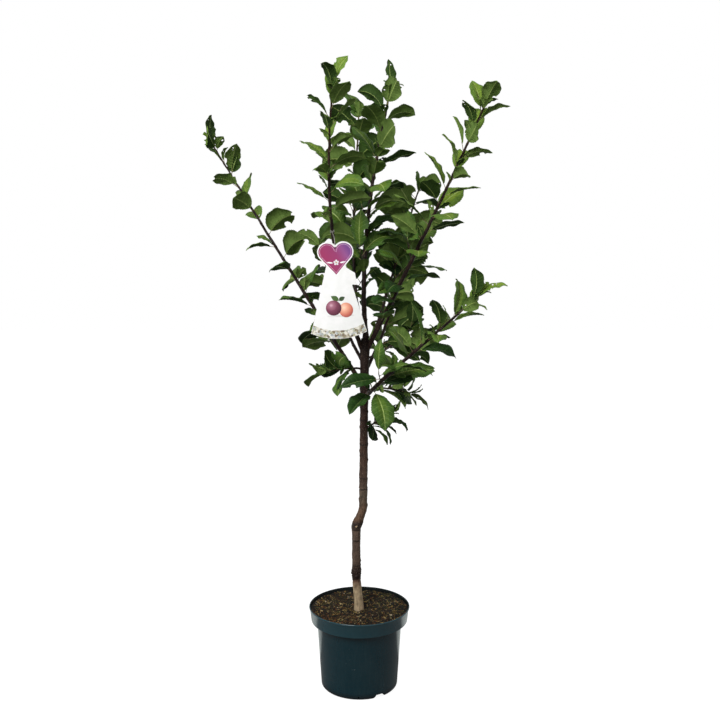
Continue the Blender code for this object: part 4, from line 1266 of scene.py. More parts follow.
@dataclass(frozen=True)
class Foliage:
    """One leafy mass: its leaves as fine meshes, and the limbs and buds that bear them."""

    shoot: Shoot
    growth: Growth = Growth()
    blade: Blade = Blade()
    holes: float = 1.0
    bites: float = 0.7
    worn_tips: float = 0.16
    hole_radius: Pair = (1.1 * MM, 2.9 * MM)
    bite_share: Pair = (0.16, 0.46)
    tip_radius: Pair = (3.0 * MM, 10.0 * MM)
    # The crown's middle, edge and heights, which set the painted light and shade of the leaves' tints.
    crown_middle: Pair = (0.045, 0.02)
    crown_radius: float = 0.25
    furthest: float = 1.35
    crown_heights: Pair = (0.74, 1.35)
    stalk_shares: tuple[float, ...] = (0.0, 0.35, 0.7, 1.0)
    stalk_radii: tuple[float, ...] = (1.15 * MM, 0.78 * MM, 0.66 * MM, 0.78 * MM, 0.6 * MM, 0.3 * MM)
    stem_step: float = 2.5 * MM
    stem_sides: int = 10
    overlap: float = 5.0 * MM
    node_proud: float = 0.5 * MM
    node_reach: float = 2.6 * MM
    waver: float = 0.5 * MM

    def eaten(self, leaf: Leaf, rng: Dice) -> Array:
        """The holes, bites and worn tip of a leaf: each one's place along and across, and its radius."""
        found = [(0.0, -1.0, 0.0)]
        for rate, is_bite in ((self.holes, False), (self.bites, True)):
            for _ in range(rng.poisson(rate)):
                share = rng.uniform(0.14, 0.86)
                width = float(self.blade.outline(leaf, np.array([share]))[0])
                off = 1.02 if is_bite else rng.uniform(0.3, 0.8)
                radius = width * rng.uniform(*self.bite_share) if is_bite else rng.uniform(*self.hole_radius)
                found.append((share * leaf.blade, off * width * rng.choice((-1.0, 1.0)), radius))
        if rng.random() < self.worn_tips:
            found.append((leaf.blade, 0.0, rng.uniform(*self.tip_radius)))
        return np.array(found)

    def tint(self, leaf: Leaf, age: float, rng: Dice) -> Tint:
        """The hue of a leaf: painted shade deep within, low down and behind, painted light out at the edge
        and high up, and a little brighter where it is young.
        """
        place = leaf.midrib(np.array([0.5]))[0][0]
        off = place[:2] - self.crown_middle
        out = min(np.linalg.norm(off) / self.crown_radius, self.furthest)
        low, top = self.crown_heights
        high = min(max((place[2] - low) / (top - low), 0), 1)
        # The score paints light and shade by place in the crown; age and chance add the rest.
        score = -0.35 + 1.9 * out + 2.3 * high + 0.4 * age - 2.5 * max(off[1], 0) / self.crown_radius
        score += rng.normal(0, 0.5)
        return BLADE_TINTS[int(min(max(round(score), 0), len(BLADE_TINTS) - 1))]

    def add_stalk(self, surface: Surface, leaf: Leaf) -> None:
        """Adds a leaf's stalk, which runs on under the foot of its rib."""
        foot, _, normal = leaf.midrib(np.array([0.0, 0.03, 0.08]))
        lean = (foot[0] - leaf.root) * np.array(self.stalk_shares)[:, None]
        points = np.vstack([leaf.root + lean, foot[1:] - normal[1:] * 0.4 * MM])
        surface.limb(points, self.stalk_radii, 6, SLOTS[Tint.STALK])

    def build(self, limbs: Surface, twigs: Surface, buds: Surface) -> int:
        """Grows the mass, makes its leaves' piece, and adds its limbs and buds to the joined ones.

        Args:
            limbs: The surface of all the stems.
            twigs: The surface of all the twigs.
            buds: The surface of all the buds.

        Returns:
            How many leaves it has.
        """
        found_twigs, leaves, young = self.growth.grow(self.shoot)
        rng = np.random.default_rng(self.shoot.seed + 2)
        surface = Surface()
        for number, leaf in enumerate(leaves + young):
            age = min(number / len(leaves), 1.0)
            back = Tint.DIM_BACK if rng.random() < 0.35 else Tint.PALE_BACK
            self.blade.add(surface, leaf, self.eaten(leaf, rng), self.tint(leaf, age, rng), back, rng)
            self.add_stalk(surface, leaf)
            self.add_bud(buds, leaf.root, unit(leaf.stem + 0.5 * leaf.out), 1.0)
        piece = surface.piece("foliage_" + self.shoot.name, [tint.value for tint in Tint], 35.0)
        claim(piece, "foliage", "leaves_" + self.shoot.name)
        self.add_stem(limbs)
        axis = self.shoot.axis()
        self.add_bud(buds, axis[-1], unit(axis[-1] - axis[-2]), 1.5)
        for twig in found_twigs:
            self.add_twig(twigs, twig)
        return len(leaves) + len(young)

    def add_stem(self, limbs: Surface) -> None:
        """Adds the stem, swollen where leaves grow and a little uneven."""
        shoot = self.shoot
        start = shoot.bare - self.overlap if shoot.has_bough else 0.0
        lengths = np.arange(start, shoot.length, self.stem_step)
        points, radii = shoot.stretch(lengths)
        nodes = np.array([shoot.node_share(node) * shoot.length for node in range(shoot.leaves)])
        radii = radii + nearness(lengths, nodes, self.node_reach) * self.node_proud
        uneven = np.stack([lumps(points, 0.035, shoot.seed + axis) for axis in range(3)], axis=1)
        limbs.limb(points + uneven * self.waver, radii, self.stem_sides)

    def add_twig(self, twigs: Surface, line: Array) -> None:
        """Adds a twig with a swollen foot and tip."""
        shares = np.linspace(0, 1, 14)
        points = np.array([along(line, share)[0] for share in shares])
        swollen = 1 + 0.5 * np.exp(-shares / 0.08) + 0.15 * np.sin(shares * 3 * math.pi)
        twigs.limb(points, self.growth.twig_radius * swollen, 8)

    @staticmethod
    def add_bud(buds: Surface, root: Array, way: Array, size: float) -> None:
        """Adds a pointed bud."""
        points = root + np.outer(np.array([0.0, 0.8, 1.7, 2.6, 3.3]) * MM * size, way)
        buds.limb(points, np.array([1.1, 1.35, 1.15, 0.7, 0.2]) * MM * size, 7)


# Trunk and boughs


@dataclass(frozen=True)
class Knob:
    """A lump of bark: its height, its way round in degrees, then its reach and rise in millimetres."""

    height: float
    way: float
    reach: float
    proud: float
    tall: float = 1.0


@dataclass(frozen=True)
class Trunk:
    """The trunk's bark: the rough graft, the kink with its old cut, scars in rings, knobs and fine relief."""

    line: TrunkLine = TrunkLine()
    sides: int = 72
    step: float = 1.4 * MM
    sunk: float = 7.0 * MM
    knobs: tuple[Knob, ...] = tuple(Knob(*row) for row in (
        (0.309, 185, 8.0, 1.7), (0.312, -8, 7.0, 1.9), (0.298, -95, 6.0, 0.9), (0.290, 90, 9.0, 1.0),
        (0.340, -20, 4.0, 2.2), (0.376, -75, 3.0, 0.8), (0.396, -125, 3.5, 1.0), (0.437, -95, 8.0, 1.2),
        (0.428, 150, 7.0, 1.1), (0.446, 20, 7.0, 1.0), (0.489, 0, 4.5, 1.9), (0.504, 180, 4.5, 1.8),
        (0.531, -15, 4.0, 1.0), (0.608, 5, 4.0, 1.7), (0.632, 175, 4.0, 1.5), (0.694, 178, 3.8, 1.5),
        (0.735, -10, 3.5, 1.2), (0.560, 80, 4.0, 1.4), (0.663, 60, 4.0, 1.3), (0.262, 100, 5.0, 1.2),
        (0.240, -50, 4.0, 0.7), (0.352, 130, 4.0, 1.4), (0.470, -70, 5.0, 0.8, 1.6),
        (0.800, -160, 9.0, 1.6, 1.4), (0.772, -60, 8.0, 1.4, 1.4), (0.890, -40, 10.0, 1.2, 1.8),
        (0.880, -150, 10.0, 1.1, 1.8),
    ))
    rings: tuple[Swelling, ...] = tuple(Swelling(height, reach * MM, proud * MM) for height, reach, proud in (
        (0.286, 3.0, -0.5), (0.300, 2.2, 0.5), (0.318, 2.0, -0.5), (0.328, 1.6, 0.6), (0.396, 1.8, 0.7),
        (0.424, 1.4, -0.7), (0.4435, 1.6, -0.4), (0.5315, 1.2, -0.9), (0.5345, 1.2, 0.6), (0.560, 1.6, 0.5),
        (0.649, 1.7, 0.6), (0.712, 1.4, 0.4), (0.755, 1.4, 0.4),
    ))
    ring_wander: float = 1.5 * MM
    graft: Pair = (0.284, 0.320)
    graft_edge: Pair = (4 * MM, 8 * MM)
    cut_height: float = 0.4345
    cut_way: Pair = (-97.0, 84.0)
    cut_radius: float = 3.4 * MM
    cut_proud: float = 1.1 * MM
    cut_sides: int = 28

    def relief(self, points: Array, heights: Array, ways: Array) -> Array:
        """How far the bark stands out.

        Args:
            points: Points on the plain trunk.
            heights: The height of each.
            ways: Its way round, in degrees.

        Returns:
            The rise at each point.
        """
        rise = 0.36 * MM * lumps(points, 0.034, 1) + 0.24 * MM * lumps(points, 0.011, 2)
        rise += 0.20 * MM * lumps(points * (1, 1, 0.18), 0.0060, 3, 40)
        rise += 0.10 * MM * lumps(points, 0.0042, 4, 40)
        spare, fade = self.graft_edge
        rough = np.clip((heights - self.graft[0] + spare) / fade, 0, 1)
        rough *= np.clip((self.graft[1] + spare - heights) / fade, 0, 1)
        rise += rough * 0.85 * MM * lumps(points, 0.0075, 5)
        for knob in self.knobs:
            round_off = (ways - knob.way + 180) % 360 - 180
            off = np.hypot((heights - knob.height) / knob.tall, np.radians(round_off) * self.line.radii[0])
            rise += knob.proud * MM * np.exp(-(off / (knob.reach * MM)) ** 2)
        wander = lumps(points, 0.020, 6) * self.ring_wander
        for ring in self.rings:
            rise += ring.proud * np.exp(-((heights - ring.height + wander) / ring.reach) ** 2)
        return rise

    def build(self) -> Piece:
        """Makes the trunk's bark and the old cut at its kink."""
        heights = np.arange(self.line.soil - self.sunk, self.line.fork + 0.5 * MM, self.step)
        middle = np.array([self.line.centre(height) for height in heights])
        radii = np.array([self.line.radius(height) for height in heights])[:, None]
        ways = np.arange(self.sides) * 360.0 / self.sides
        turns = np.radians(ways)
        spokes = np.stack([np.cos(turns), np.sin(turns), np.zeros(self.sides)], axis=1)
        points = (middle[:, None, :] + spokes * radii[:, :, None]).reshape(-1, 3)
        rise = self.relief(points, np.repeat(heights, self.sides), np.tile(ways, len(heights)))
        surface = Surface()
        surface.limb(middle, radii + rise.reshape(len(heights), self.sides), self.sides, tip=0.3)
        way = direction(*self.cut_way)
        seat = self.line.centre(self.cut_height) + way * self.line.radius(self.cut_height)
        for slot, (wider, far, tip) in enumerate(((1.0, 1.0, 0.12), (1.45, 0.35, 0.1)), 1):
            line = seat + np.outer((-5 * MM, 0.0, self.cut_proud * far), way)
            edge = wider * self.cut_radius * (1 + 0.07 * np.cos(np.arange(self.cut_sides) * 3.3))
            surface.limb(line, np.stack([edge, edge, edge * 0.93]), self.cut_sides, slot, tip)
        return surface.piece("trunk_bark", [TRUNK_BARK, SCAR, COLLAR], 50.0)


@dataclass(frozen=True)
class Bough:
    """A bare bough's bark, which starts within the trunk and runs a little way into its stem."""

    shoot: Shoot
    sides: int = 26
    step: float = 1.8 * MM
    overlap: float = 3.0 * MM
    scar_start: float = 0.026
    scar_spacing: float = 0.024
    scar_reach: float = 2.0 * MM
    scar_proud: float = 0.4 * MM

    def build(self) -> Piece:
        """Makes the bark, with bud scars in rings and a bud beside each of them."""
        shoot = self.shoot
        rng = np.random.default_rng(shoot.seed + 3)
        lengths = np.arange(0.0, shoot.bare + self.overlap, self.step)
        middle, radii = shoot.stretch(lengths)
        scars = np.arange(self.scar_start, shoot.bare, self.scar_spacing) + rng.uniform(-5, 5) * MM
        radii = radii + nearness(lengths, scars, self.scar_reach) * self.scar_proud
        plain = tube(middle, radii, self.sides)[0]
        rise = 0.16 * MM * lumps(plain, 0.020, shoot.seed)
        rise += 0.12 * MM * lumps(plain, 0.0065, shoot.seed + 1, 40)
        surface = Surface()
        surface.limb(middle, radii[:, None] + rise[:-2].reshape(len(middle), self.sides), self.sides)
        axis = shoot.axis()
        for number, scar in enumerate(scars):
            place, ahead = along(axis, scar / shoot.length)
            out = outward(ahead, number * 144.0 + shoot.turn)
            root = place + out * shoot.radius_at(scar / shoot.length)
            bud = root + np.outer(np.array([-1.0, 0.6, 1.6, 2.4]) * MM, unit(ahead + 0.6 * out))
            surface.limb(bud, np.array([1.3, 1.4, 0.9, 0.25]) * MM, 8, 1)
        return surface.piece("bark_" + shoot.name, [BOUGH_BARK, BUD], 50.0)


@dataclass(frozen=True)
class Plant:
    """The whole plant above the soil."""

    nibbled: tuple[str, ...] = ("left_bough", "left_leader", "right_leader")

    def build(self) -> None:
        """Makes the trunk, the boughs and each mass, then the stems, twigs and buds of all of them."""
        claim(Trunk().build(), "bark", "trunk")
        for shoot in SHOOTS:
            if shoot.has_bough:
                claim(Bough(shoot).build(), "bark", "bough_" + shoot.name)
        limbs, twigs, buds = Surface(), Surface(), Surface()
        for shoot in SHOOTS:
            foliage = Foliage(shoot, holes=2.0, bites=0.6) if shoot.name in self.nibbled else Foliage(shoot)
            log.info("%s: %d leaves", shoot.name, foliage.build(limbs, twigs, buds))
        masses = ["leaves_" + shoot.name for shoot in SHOOTS]
        joint = ((limbs, "stems", STEM_BARK), (twigs, "twigs", STEM_BARK), (buds, "buds", BUD))
        for surface, name, finish in joint:
            claim(surface.piece(name, [finish], 50.0), "bark", *masses)


# Modelling with operators


def claim(piece: Piece, slot: str, *nodes: str) -> None:
    """Sets a piece on the body, in place of the solids it stands for."""
    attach(piece, BODY)
    if nodes:
        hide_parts(*nodes)
    log.info("%s: %d faces", piece.name, len(piece.data.polygons))


def deselect() -> None:
    """Leaves nothing selected."""
    if bpy.context.object and bpy.context.object.mode != "OBJECT":
        bpy.ops.object.mode_set(mode="OBJECT")
    bpy.ops.object.select_all(action="DESELECT")


def choose(piece: Piece) -> None:
    """Makes a piece the only selected one."""
    deselect()
    piece.select_set(True)
    bpy.context.view_layer.objects.active = piece


def finish_piece(piece: Piece, finishes: Iterable[Finish], crease: float) -> None:
    """Shades a piece smooth but for its creases, and dresses it."""
    choose(piece)
    bpy.ops.object.shade_smooth_by_angle(angle=math.radians(crease))
    for finish in finishes:
        piece.data.materials.append(finish.material())


def turned(name: str, side: Sequence[Pair], segments: int) -> Piece:
    """Turns a closed solid by extruding a disc ring by ring.

    Args:
        name: The piece's name.
        side: The radii and heights up its side.
        segments: How many sides it has.

    Returns:
        The piece.
    """
    deselect()
    radius, height = side[0]
    bpy.ops.mesh.primitive_circle_add(vertices=segments, radius=radius, fill_type="NGON")
    piece = bpy.context.object
    piece.name = piece.data.name = name
    bpy.ops.object.mode_set(mode="EDIT")
    bpy.ops.mesh.select_all(action="SELECT")
    bpy.ops.transform.translate(value=(0, 0, height))
    for next_radius, next_height in side[1:]:
        bpy.ops.mesh.extrude_region_move(TRANSFORM_OT_translate={"value": (0, 0, next_height - height)})
        share = next_radius / radius
        bpy.ops.transform.resize(value=(share, share, 1), center_override=(0, 0, next_height))
        radius, height = next_radius, next_height
    bpy.ops.mesh.select_all(action="SELECT")
    bpy.ops.mesh.normals_make_consistent(inside=False)
    bpy.ops.object.mode_set(mode="OBJECT")
    return piece


def block(size: Triple, place: Triple, top: float, turn: float) -> Piece:
    """Makes a block that narrows upwards.

    Args:
        size: How large it is.
        place: Where its middle lies, before it is turned.
        top: How wide its top is, as a share of its foot.
        turn: How far it is turned round the pot, in degrees.

    Returns:
        The piece.
    """
    deselect()
    bpy.ops.mesh.primitive_cube_add(size=1)
    piece = bpy.context.object
    piece.scale = size
    bpy.ops.object.transform_apply(location=False, rotation=False, scale=True)
    bpy.ops.object.mode_set(mode="EDIT")
    bpy.ops.mesh.select_mode(type="FACE")
    bpy.ops.mesh.select_all(action="DESELECT")
    bpy.ops.object.mode_set(mode="OBJECT")
    for face in piece.data.polygons:
        face.select = face.normal.z > 0.9
    bpy.ops.object.mode_set(mode="EDIT")
    bpy.ops.transform.resize(value=(1, top, 1), center_override=(0, 0, size[2] / 2))
    bpy.ops.object.mode_set(mode="OBJECT")
    piece.data.transform(Matrix.Rotation(math.radians(turn), 4, "Z") @ Matrix.Translation(place))
    return piece


def cut(piece: Piece, tools: Sequence[Piece]) -> None:
    """Cuts some tools out of a piece and removes them."""
    for tool in tools:
        choose(piece)
        change = piece.modifiers.new("cut", "BOOLEAN")
        change.operation = "DIFFERENCE"
        change.solver = "EXACT"
        change.object = tool
        bpy.ops.object.modifier_apply(modifier=change.name)
        bpy.data.objects.remove(tool, do_unlink=True)


def flat(name: str, outlines: Sequence[Sequence[Pair]], thickness: float, finish: Finish,
         bevel: float = 0.0) -> Piece:
    """Makes a flat plate in the plane of X and Z, round the origin.

    Args:
        name: The plate's name.
        outlines: Its edge. One that lies within another is a hole.
        thickness: How thick it is.
        finish: What it is dressed in.
        bevel: How far its edges are rounded.

    Returns:
        The plate.
    """
    curve = bpy.data.curves.new(name, "CURVE")
    curve.dimensions = "2D"
    curve.fill_mode = "BOTH"
    curve.extrude = 0.5 * thickness - bevel
    curve.bevel_depth = bevel
    for outline in outlines:
        spline = curve.splines.new("POLY")
        spline.points.add(len(outline) - 1)
        spline.points.foreach_set("co", [value for across, up in outline for value in (across, up, 0.0, 1.0)])
        spline.use_cyclic_u = True
    plate = bpy.data.objects.new(name, curve)
    bpy.context.scene.collection.objects.link(plate)
    choose(plate)
    bpy.ops.object.convert(target="MESH")
    plate = bpy.context.object
    bpy.ops.object.mode_set(mode="EDIT")
    bpy.ops.mesh.select_all(action="SELECT")
    bpy.ops.mesh.remove_doubles(threshold=0.002 * MM)
    bpy.ops.mesh.normals_make_consistent(inside=False)
    bpy.ops.object.mode_set(mode="OBJECT")
    plate.data.transform(Matrix.Rotation(math.radians(90), 4, "X"))
    finish_piece(plate, [finish], 30.0)
    return plate


def joined(name: str, pieces: Sequence[Piece]) -> Piece:
    """Some pieces as one."""
    choose(pieces[0])
    for piece in pieces:
        piece.select_set(True)
    bpy.ops.object.join()
    piece = bpy.context.object
    piece.name = piece.data.name = name
    return piece


# Pot and soil


@dataclass(frozen=True)
class Pot:
    """The nursery pot: a thin wall with a stepped band and a beaded lip, and drain mouths in its foot."""

    height: float = 0.217
    base_radius: float = 0.100
    base_round: float = 0.009
    body_top_radius: float = 0.1105
    band_low: float = 0.180
    band_low_radius: float = 0.1255
    band_top_radius: float = 0.1295
    edge: float = 1.1 * MM
    lip_sunk: float = 0.4 * MM
    lip_proud: float = 1.5 * MM
    lip_height: float = 3.0 * MM
    lip: tuple[Pair, ...] = (
        (0.0, -0.7), (0.55, -0.25), (0.9, 0.05), (1.0, 0.4), (0.92, 0.75), (0.7, 0.94), (0.3, 1.0),
    )
    inner_lip: tuple[Pair, ...] = ((0.0, -1.4 * MM), (0.5 * MM, -0.5 * MM), (1.6 * MM, 0.4 * MM))
    wall: float = 1.8 * MM
    segments: int = 144
    drain_ways: Pair = (-58.0, 122.0)
    drain_widths: Pair = (0.037, 0.021)
    drain_height: float = 0.011
    drain_depth: float = 0.034
    nicks: tuple[tuple[float, Triple, float, float, float], ...] = (
        (-91.0, (4.0 * MM, 3.4 * MM, 8.0 * MM), -0.5 * MM, 3.0 * MM, 0.8),
        (-96.5, (1.2 * MM, 13.0 * MM, 7.0 * MM), 0.5 * MM, 5.0 * MM, 0.9),
    )
    # The inner wall's plastic: painted shade, darker and less shiny, with a little soil-coloured dust.
    inner_wall_painted_shade: tuple[Colour, Colour, Colour, float] = ((7, 14, 14), (7, 14, 14), (24, 28, 22), 0.25)
    soil_low: float = 0.190

    def side(self, inset: float) -> list[Pair]:
        """Radii and heights up the side, set inwards, from the round foot to below the lip."""
        radius = self.base_round - inset
        turns = [math.radians(9 * step) for step in range(11)]
        out, up = self.base_radius - self.base_round, self.base_round
        side = [(out + radius * math.sin(turn), up - radius * math.cos(turn)) for turn in turns]
        step, corner = self.edge, self.band_low + inset
        low, high = self.body_top_radius - inset, self.band_low_radius - inset
        side += [(low - 0.4 * MM, corner - 2.4 * step), (low, corner - step)]
        side += [(low + 0.3 * step, corner - 0.3 * step), (low + step, corner)]
        return side + [(high - step, corner), (high - 0.3 * step, corner + 0.3 * step), (high, corner + step)]

    def bead(self) -> list[Pair]:
        """Radii and heights round the lip, from below it on the outside to its top."""
        low, inner = self.height - self.lip_height, self.band_top_radius - self.lip_sunk
        wide = self.lip_proud + self.lip_sunk
        return [(inner + wide * out, low + self.lip_height * up) for out, up in self.lip]

    def drains(self, proud: float, bottom: float) -> list[Piece]:
        """Blocks in the shape of the drain mouths, made larger all round, from a height up."""
        slope = (self.drain_widths[1] - self.drain_widths[0]) / 2 / self.drain_height
        side_proud = proud * math.hypot(1, slope)
        top = self.drain_height + proud
        low, high = (self.drain_widths[0] / 2 + slope * height + side_proud for height in (bottom, top))
        inner, outer = self.base_radius - self.drain_depth - proud, self.base_radius + self.base_round
        size = (outer - inner, 2 * low, top - bottom)
        place = ((inner + outer) / 2, 0, (bottom + top) / 2)
        return [block(size, place, high / low, way) for way in self.drain_ways]

    def build(self) -> None:
        """Makes the pot."""
        pot = turned("nursery_pot", self.side(0.0) + self.bead(), self.segments)
        inner = self.band_top_radius - self.wall
        inside = self.side(self.wall) + [(inner + out, self.height + up) for out, up in self.inner_lip]
        hollow = turned("hollow", inside, self.segments)
        cut(hollow, self.drains(self.wall, 0.0))
        cut(pot, [hollow, *self.drains(0.0, -self.wall)])
        for way, size, out, low, top in self.nicks:
            cut(pot, [block(size, (self.base_radius + out, 0, low + size[2] / 2), top, way)])
        # Faces of the inner wall above soil_low take the second plastic, which paints shade inside the pot's
        # mouth.
        finish_piece(pot, [PotPlastic("nursery_plastic"), PotPlastic("inner_wall_plastic_painted_shade", *self.inner_wall_painted_shade)], 32.0)
        for face in pot.data.polygons:
            inward = face.normal.x * face.center.x + face.normal.y * face.center.y < -0.2 * self.base_radius
            face.material_index = int(inward and face.center.z > self.soil_low)
        claim(pot, "pot_plastic", "pot")


class Scrap(Enum):
    """What lies in the peat, from dark crumbs to moss."""

    CRUMB = Peat("peat_crumb", (22, 19, 12), (8, 7, 4))
    BROWN = Peat("peat_brown", (52, 38, 20), (24, 18, 10))
    GOLDEN = Peat("peat_golden", (166, 138, 74), (104, 82, 38))
    TAN = Peat("peat_tan", (182, 162, 116), (134, 114, 74))
    RUST = Peat("peat_rust", (112, 66, 30), (60, 34, 15))
    MOSS = Peat("peat_moss", (70, 76, 34), (36, 42, 17))
    PALE = Peat("peat_pale", (214, 200, 172), (166, 148, 116))


@dataclass(frozen=True)
class Soil:
    """The moist peat in the pot: an uneven bed with crumbs, chips and curly fibres thick upon it."""

    top: float = 0.2075
    gap: float = 0.3 * MM
    pot: Pot = Pot()
    rings: int = 44
    segments: int = 150
    crumbs: int = 3000
    chips: int = 900
    fibres: int = 1500
    trunk_radius: float = 0.0135
    crumb_weights: tuple[float, ...] = (5.0, 3.4, 0.30, 0.12, 0.8, 0.45, 0.04)
    fibre_weights: tuple[float, ...] = (0.5, 1.6, 2.6, 1.5, 0.8, 0.9, 0.14)

    def radius(self) -> float:
        """The bed's radius at its top, inside the wall."""
        share = (self.top - self.pot.band_low) / (self.pot.height - self.pot.band_low)
        return between((self.pot.band_low_radius, self.pot.band_top_radius), share) - self.pot.wall - self.gap

    def level(self, places: Array) -> Array:
        """How high the bed is at some places."""
        far = np.hypot(places[:, 0], places[:, 1])
        flat_places = np.column_stack([places[:, :2], np.zeros(len(places))])
        rise = 1.5 * MM * lumps(flat_places, 0.050, 11) + 0.9 * MM * lumps(flat_places, 0.018, 12)
        rise += 0.5 * MM * lumps(flat_places, 0.007, 13, 40)
        dip = 3.5 * MM * np.exp(-((far - self.trunk_radius) / (9 * MM)) ** 2)
        return self.top + 1.0 * MM + rise - dip

    def build_bed(self) -> None:
        """Makes the bed: a disc extruded ring by ring, then raised and dipped."""
        edge = self.radius()
        step = self.pot.band_low + self.pot.wall + self.gap
        side = [(0.0985, 0.0260), (0.1080, 0.1800), (0.1080, step), (0.1228, step)]
        side += [(max(edge * (1 - ring / self.rings), 0.6 * MM), self.top) for ring in range(self.rings)]
        bed = turned("peat_bed", side, self.segments)
        places = np.empty(len(bed.data.vertices) * 3, np.float32)
        bed.data.vertices.foreach_get("co", places)
        places = places.reshape(-1, 3).astype(float)
        upper = places[:, 2] > self.top - 1 * MM
        places[upper, 2] = self.level(places[upper])
        bed.data.vertices.foreach_set("co", places.astype(np.float32).ravel())
        bed.data.update()
        finish_piece(bed, [Peat("peat_bed", (20, 17, 11), (7, 6, 4), scale=300.0)], 60.0)
        claim(bed, "peat", "soil")

    def hue(self, place: Array, shares: Sequence[float], rng: Dice) -> int:
        """Chooses a kind of scrap: mossier at the right and back, rustier in front.

        Args:
            place: Where it lies.
            shares: How common each kind is.
            rng: Deals it out.

        Returns:
            The kind's number.
        """
        right, back = place[:2] / self.radius()
        rustier = 1 + 3.0 * max(0.0, -0.5 * right - 0.7 * back)
        mossier = 1 + 3.0 * max(0.0, 0.5 * right + 0.5 * back)
        weights = np.array(shares) * (1.0, 1.0, 1.0, 1.0, rustier, mossier, 1.0)
        return int(rng.choice(len(weights), p=weights / weights.sum()))

    def spot(self, rng: Dice, spare: float) -> Array:
        """A place on the bed, clear of the wall and the trunk."""
        reach = math.sqrt(rng.uniform((self.trunk_radius + spare) ** 2, (self.radius() - spare) ** 2))
        turn = rng.uniform(0, 2 * math.pi)
        place = np.array([[reach * math.cos(turn), reach * math.sin(turn), 0.0]])
        return np.array([*place[0, :2], self.level(place)[0]])

    def crumb(self, surface: Surface, is_chip: bool, rng: Dice) -> None:
        """Adds a crumb, or a flat chip, turned at random."""
        size = rng.uniform(1.8, 4.6) * MM if is_chip else rng.uniform(0.7, 2.0) * MM
        place = self.spot(rng, size)
        profile = np.array([0.6, 1.0, 0.5])[:, None] * rng.uniform(0.65, 1.35, (3, 5))
        verts, faces = tube(np.outer((-0.8, 0.1, 0.8), UP), profile, 5, 0.3)
        verts = verts * (1.0, rng.uniform(0.25, 0.55), rng.uniform(0.12, 0.28)) if is_chip else verts * 0.8
        turn, tilt = rng.uniform(0, 2 * math.pi), rng.normal(0, 0.4)
        way = np.array(Matrix.Rotation(turn, 3, "Z") @ Matrix.Rotation(tilt, 3, "X"))
        slot = self.hue(place, self.crumb_weights, rng)
        surface.add(verts @ way.T * size + place + UP * 0.2 * size, *((group, slot) for group in faces))

    def fibre(self, surface: Surface, rng: Dice) -> None:
        """Adds a fibre that curls over the bed."""
        length = rng.uniform(2.5, 6.5) * MM if rng.random() < 0.6 else rng.uniform(6.0, 14.0) * MM
        place = self.spot(rng, 0.6 * length)
        turn, curl = rng.uniform(0, 2 * math.pi), rng.normal(0, 0.9)
        shares = np.linspace(-0.5, 0.5, 6)
        heading = turn + curl * shares * 2 + rng.normal(0, 0.22, 6)
        steps = np.stack([np.cos(heading), np.sin(heading), rng.normal(0, 0.2, 6)], axis=1) * length / 6
        line = place + np.cumsum(steps, axis=0) - steps.sum(axis=0) / 2
        line[:, 2] = np.maximum(line[:, 2], self.level(line)) + rng.uniform(0.1, 1.5) * MM
        radius = rng.uniform(0.16, 0.50) * MM * (1.1 - 2 * shares ** 2)
        surface.limb(line, radius, 4, self.hue(place, self.fibre_weights, rng))

    def build_scraps(self) -> None:
        """Makes the crumbs and chips as one piece, and the fibres as another."""
        rng = np.random.default_rng(5)
        scraps, fibres = Surface(), Surface()
        for number in range(self.crumbs + self.chips):
            self.crumb(scraps, number >= self.crumbs, rng)
        for _ in range(self.fibres):
            self.fibre(fibres, rng)
        for surface, name in ((scraps, "peat_scraps"), (fibres, "peat_fibres")):
            claim(surface.piece(name, [scrap.value for scrap in Scrap], 45.0), "peat", "soil")


# Label and tie


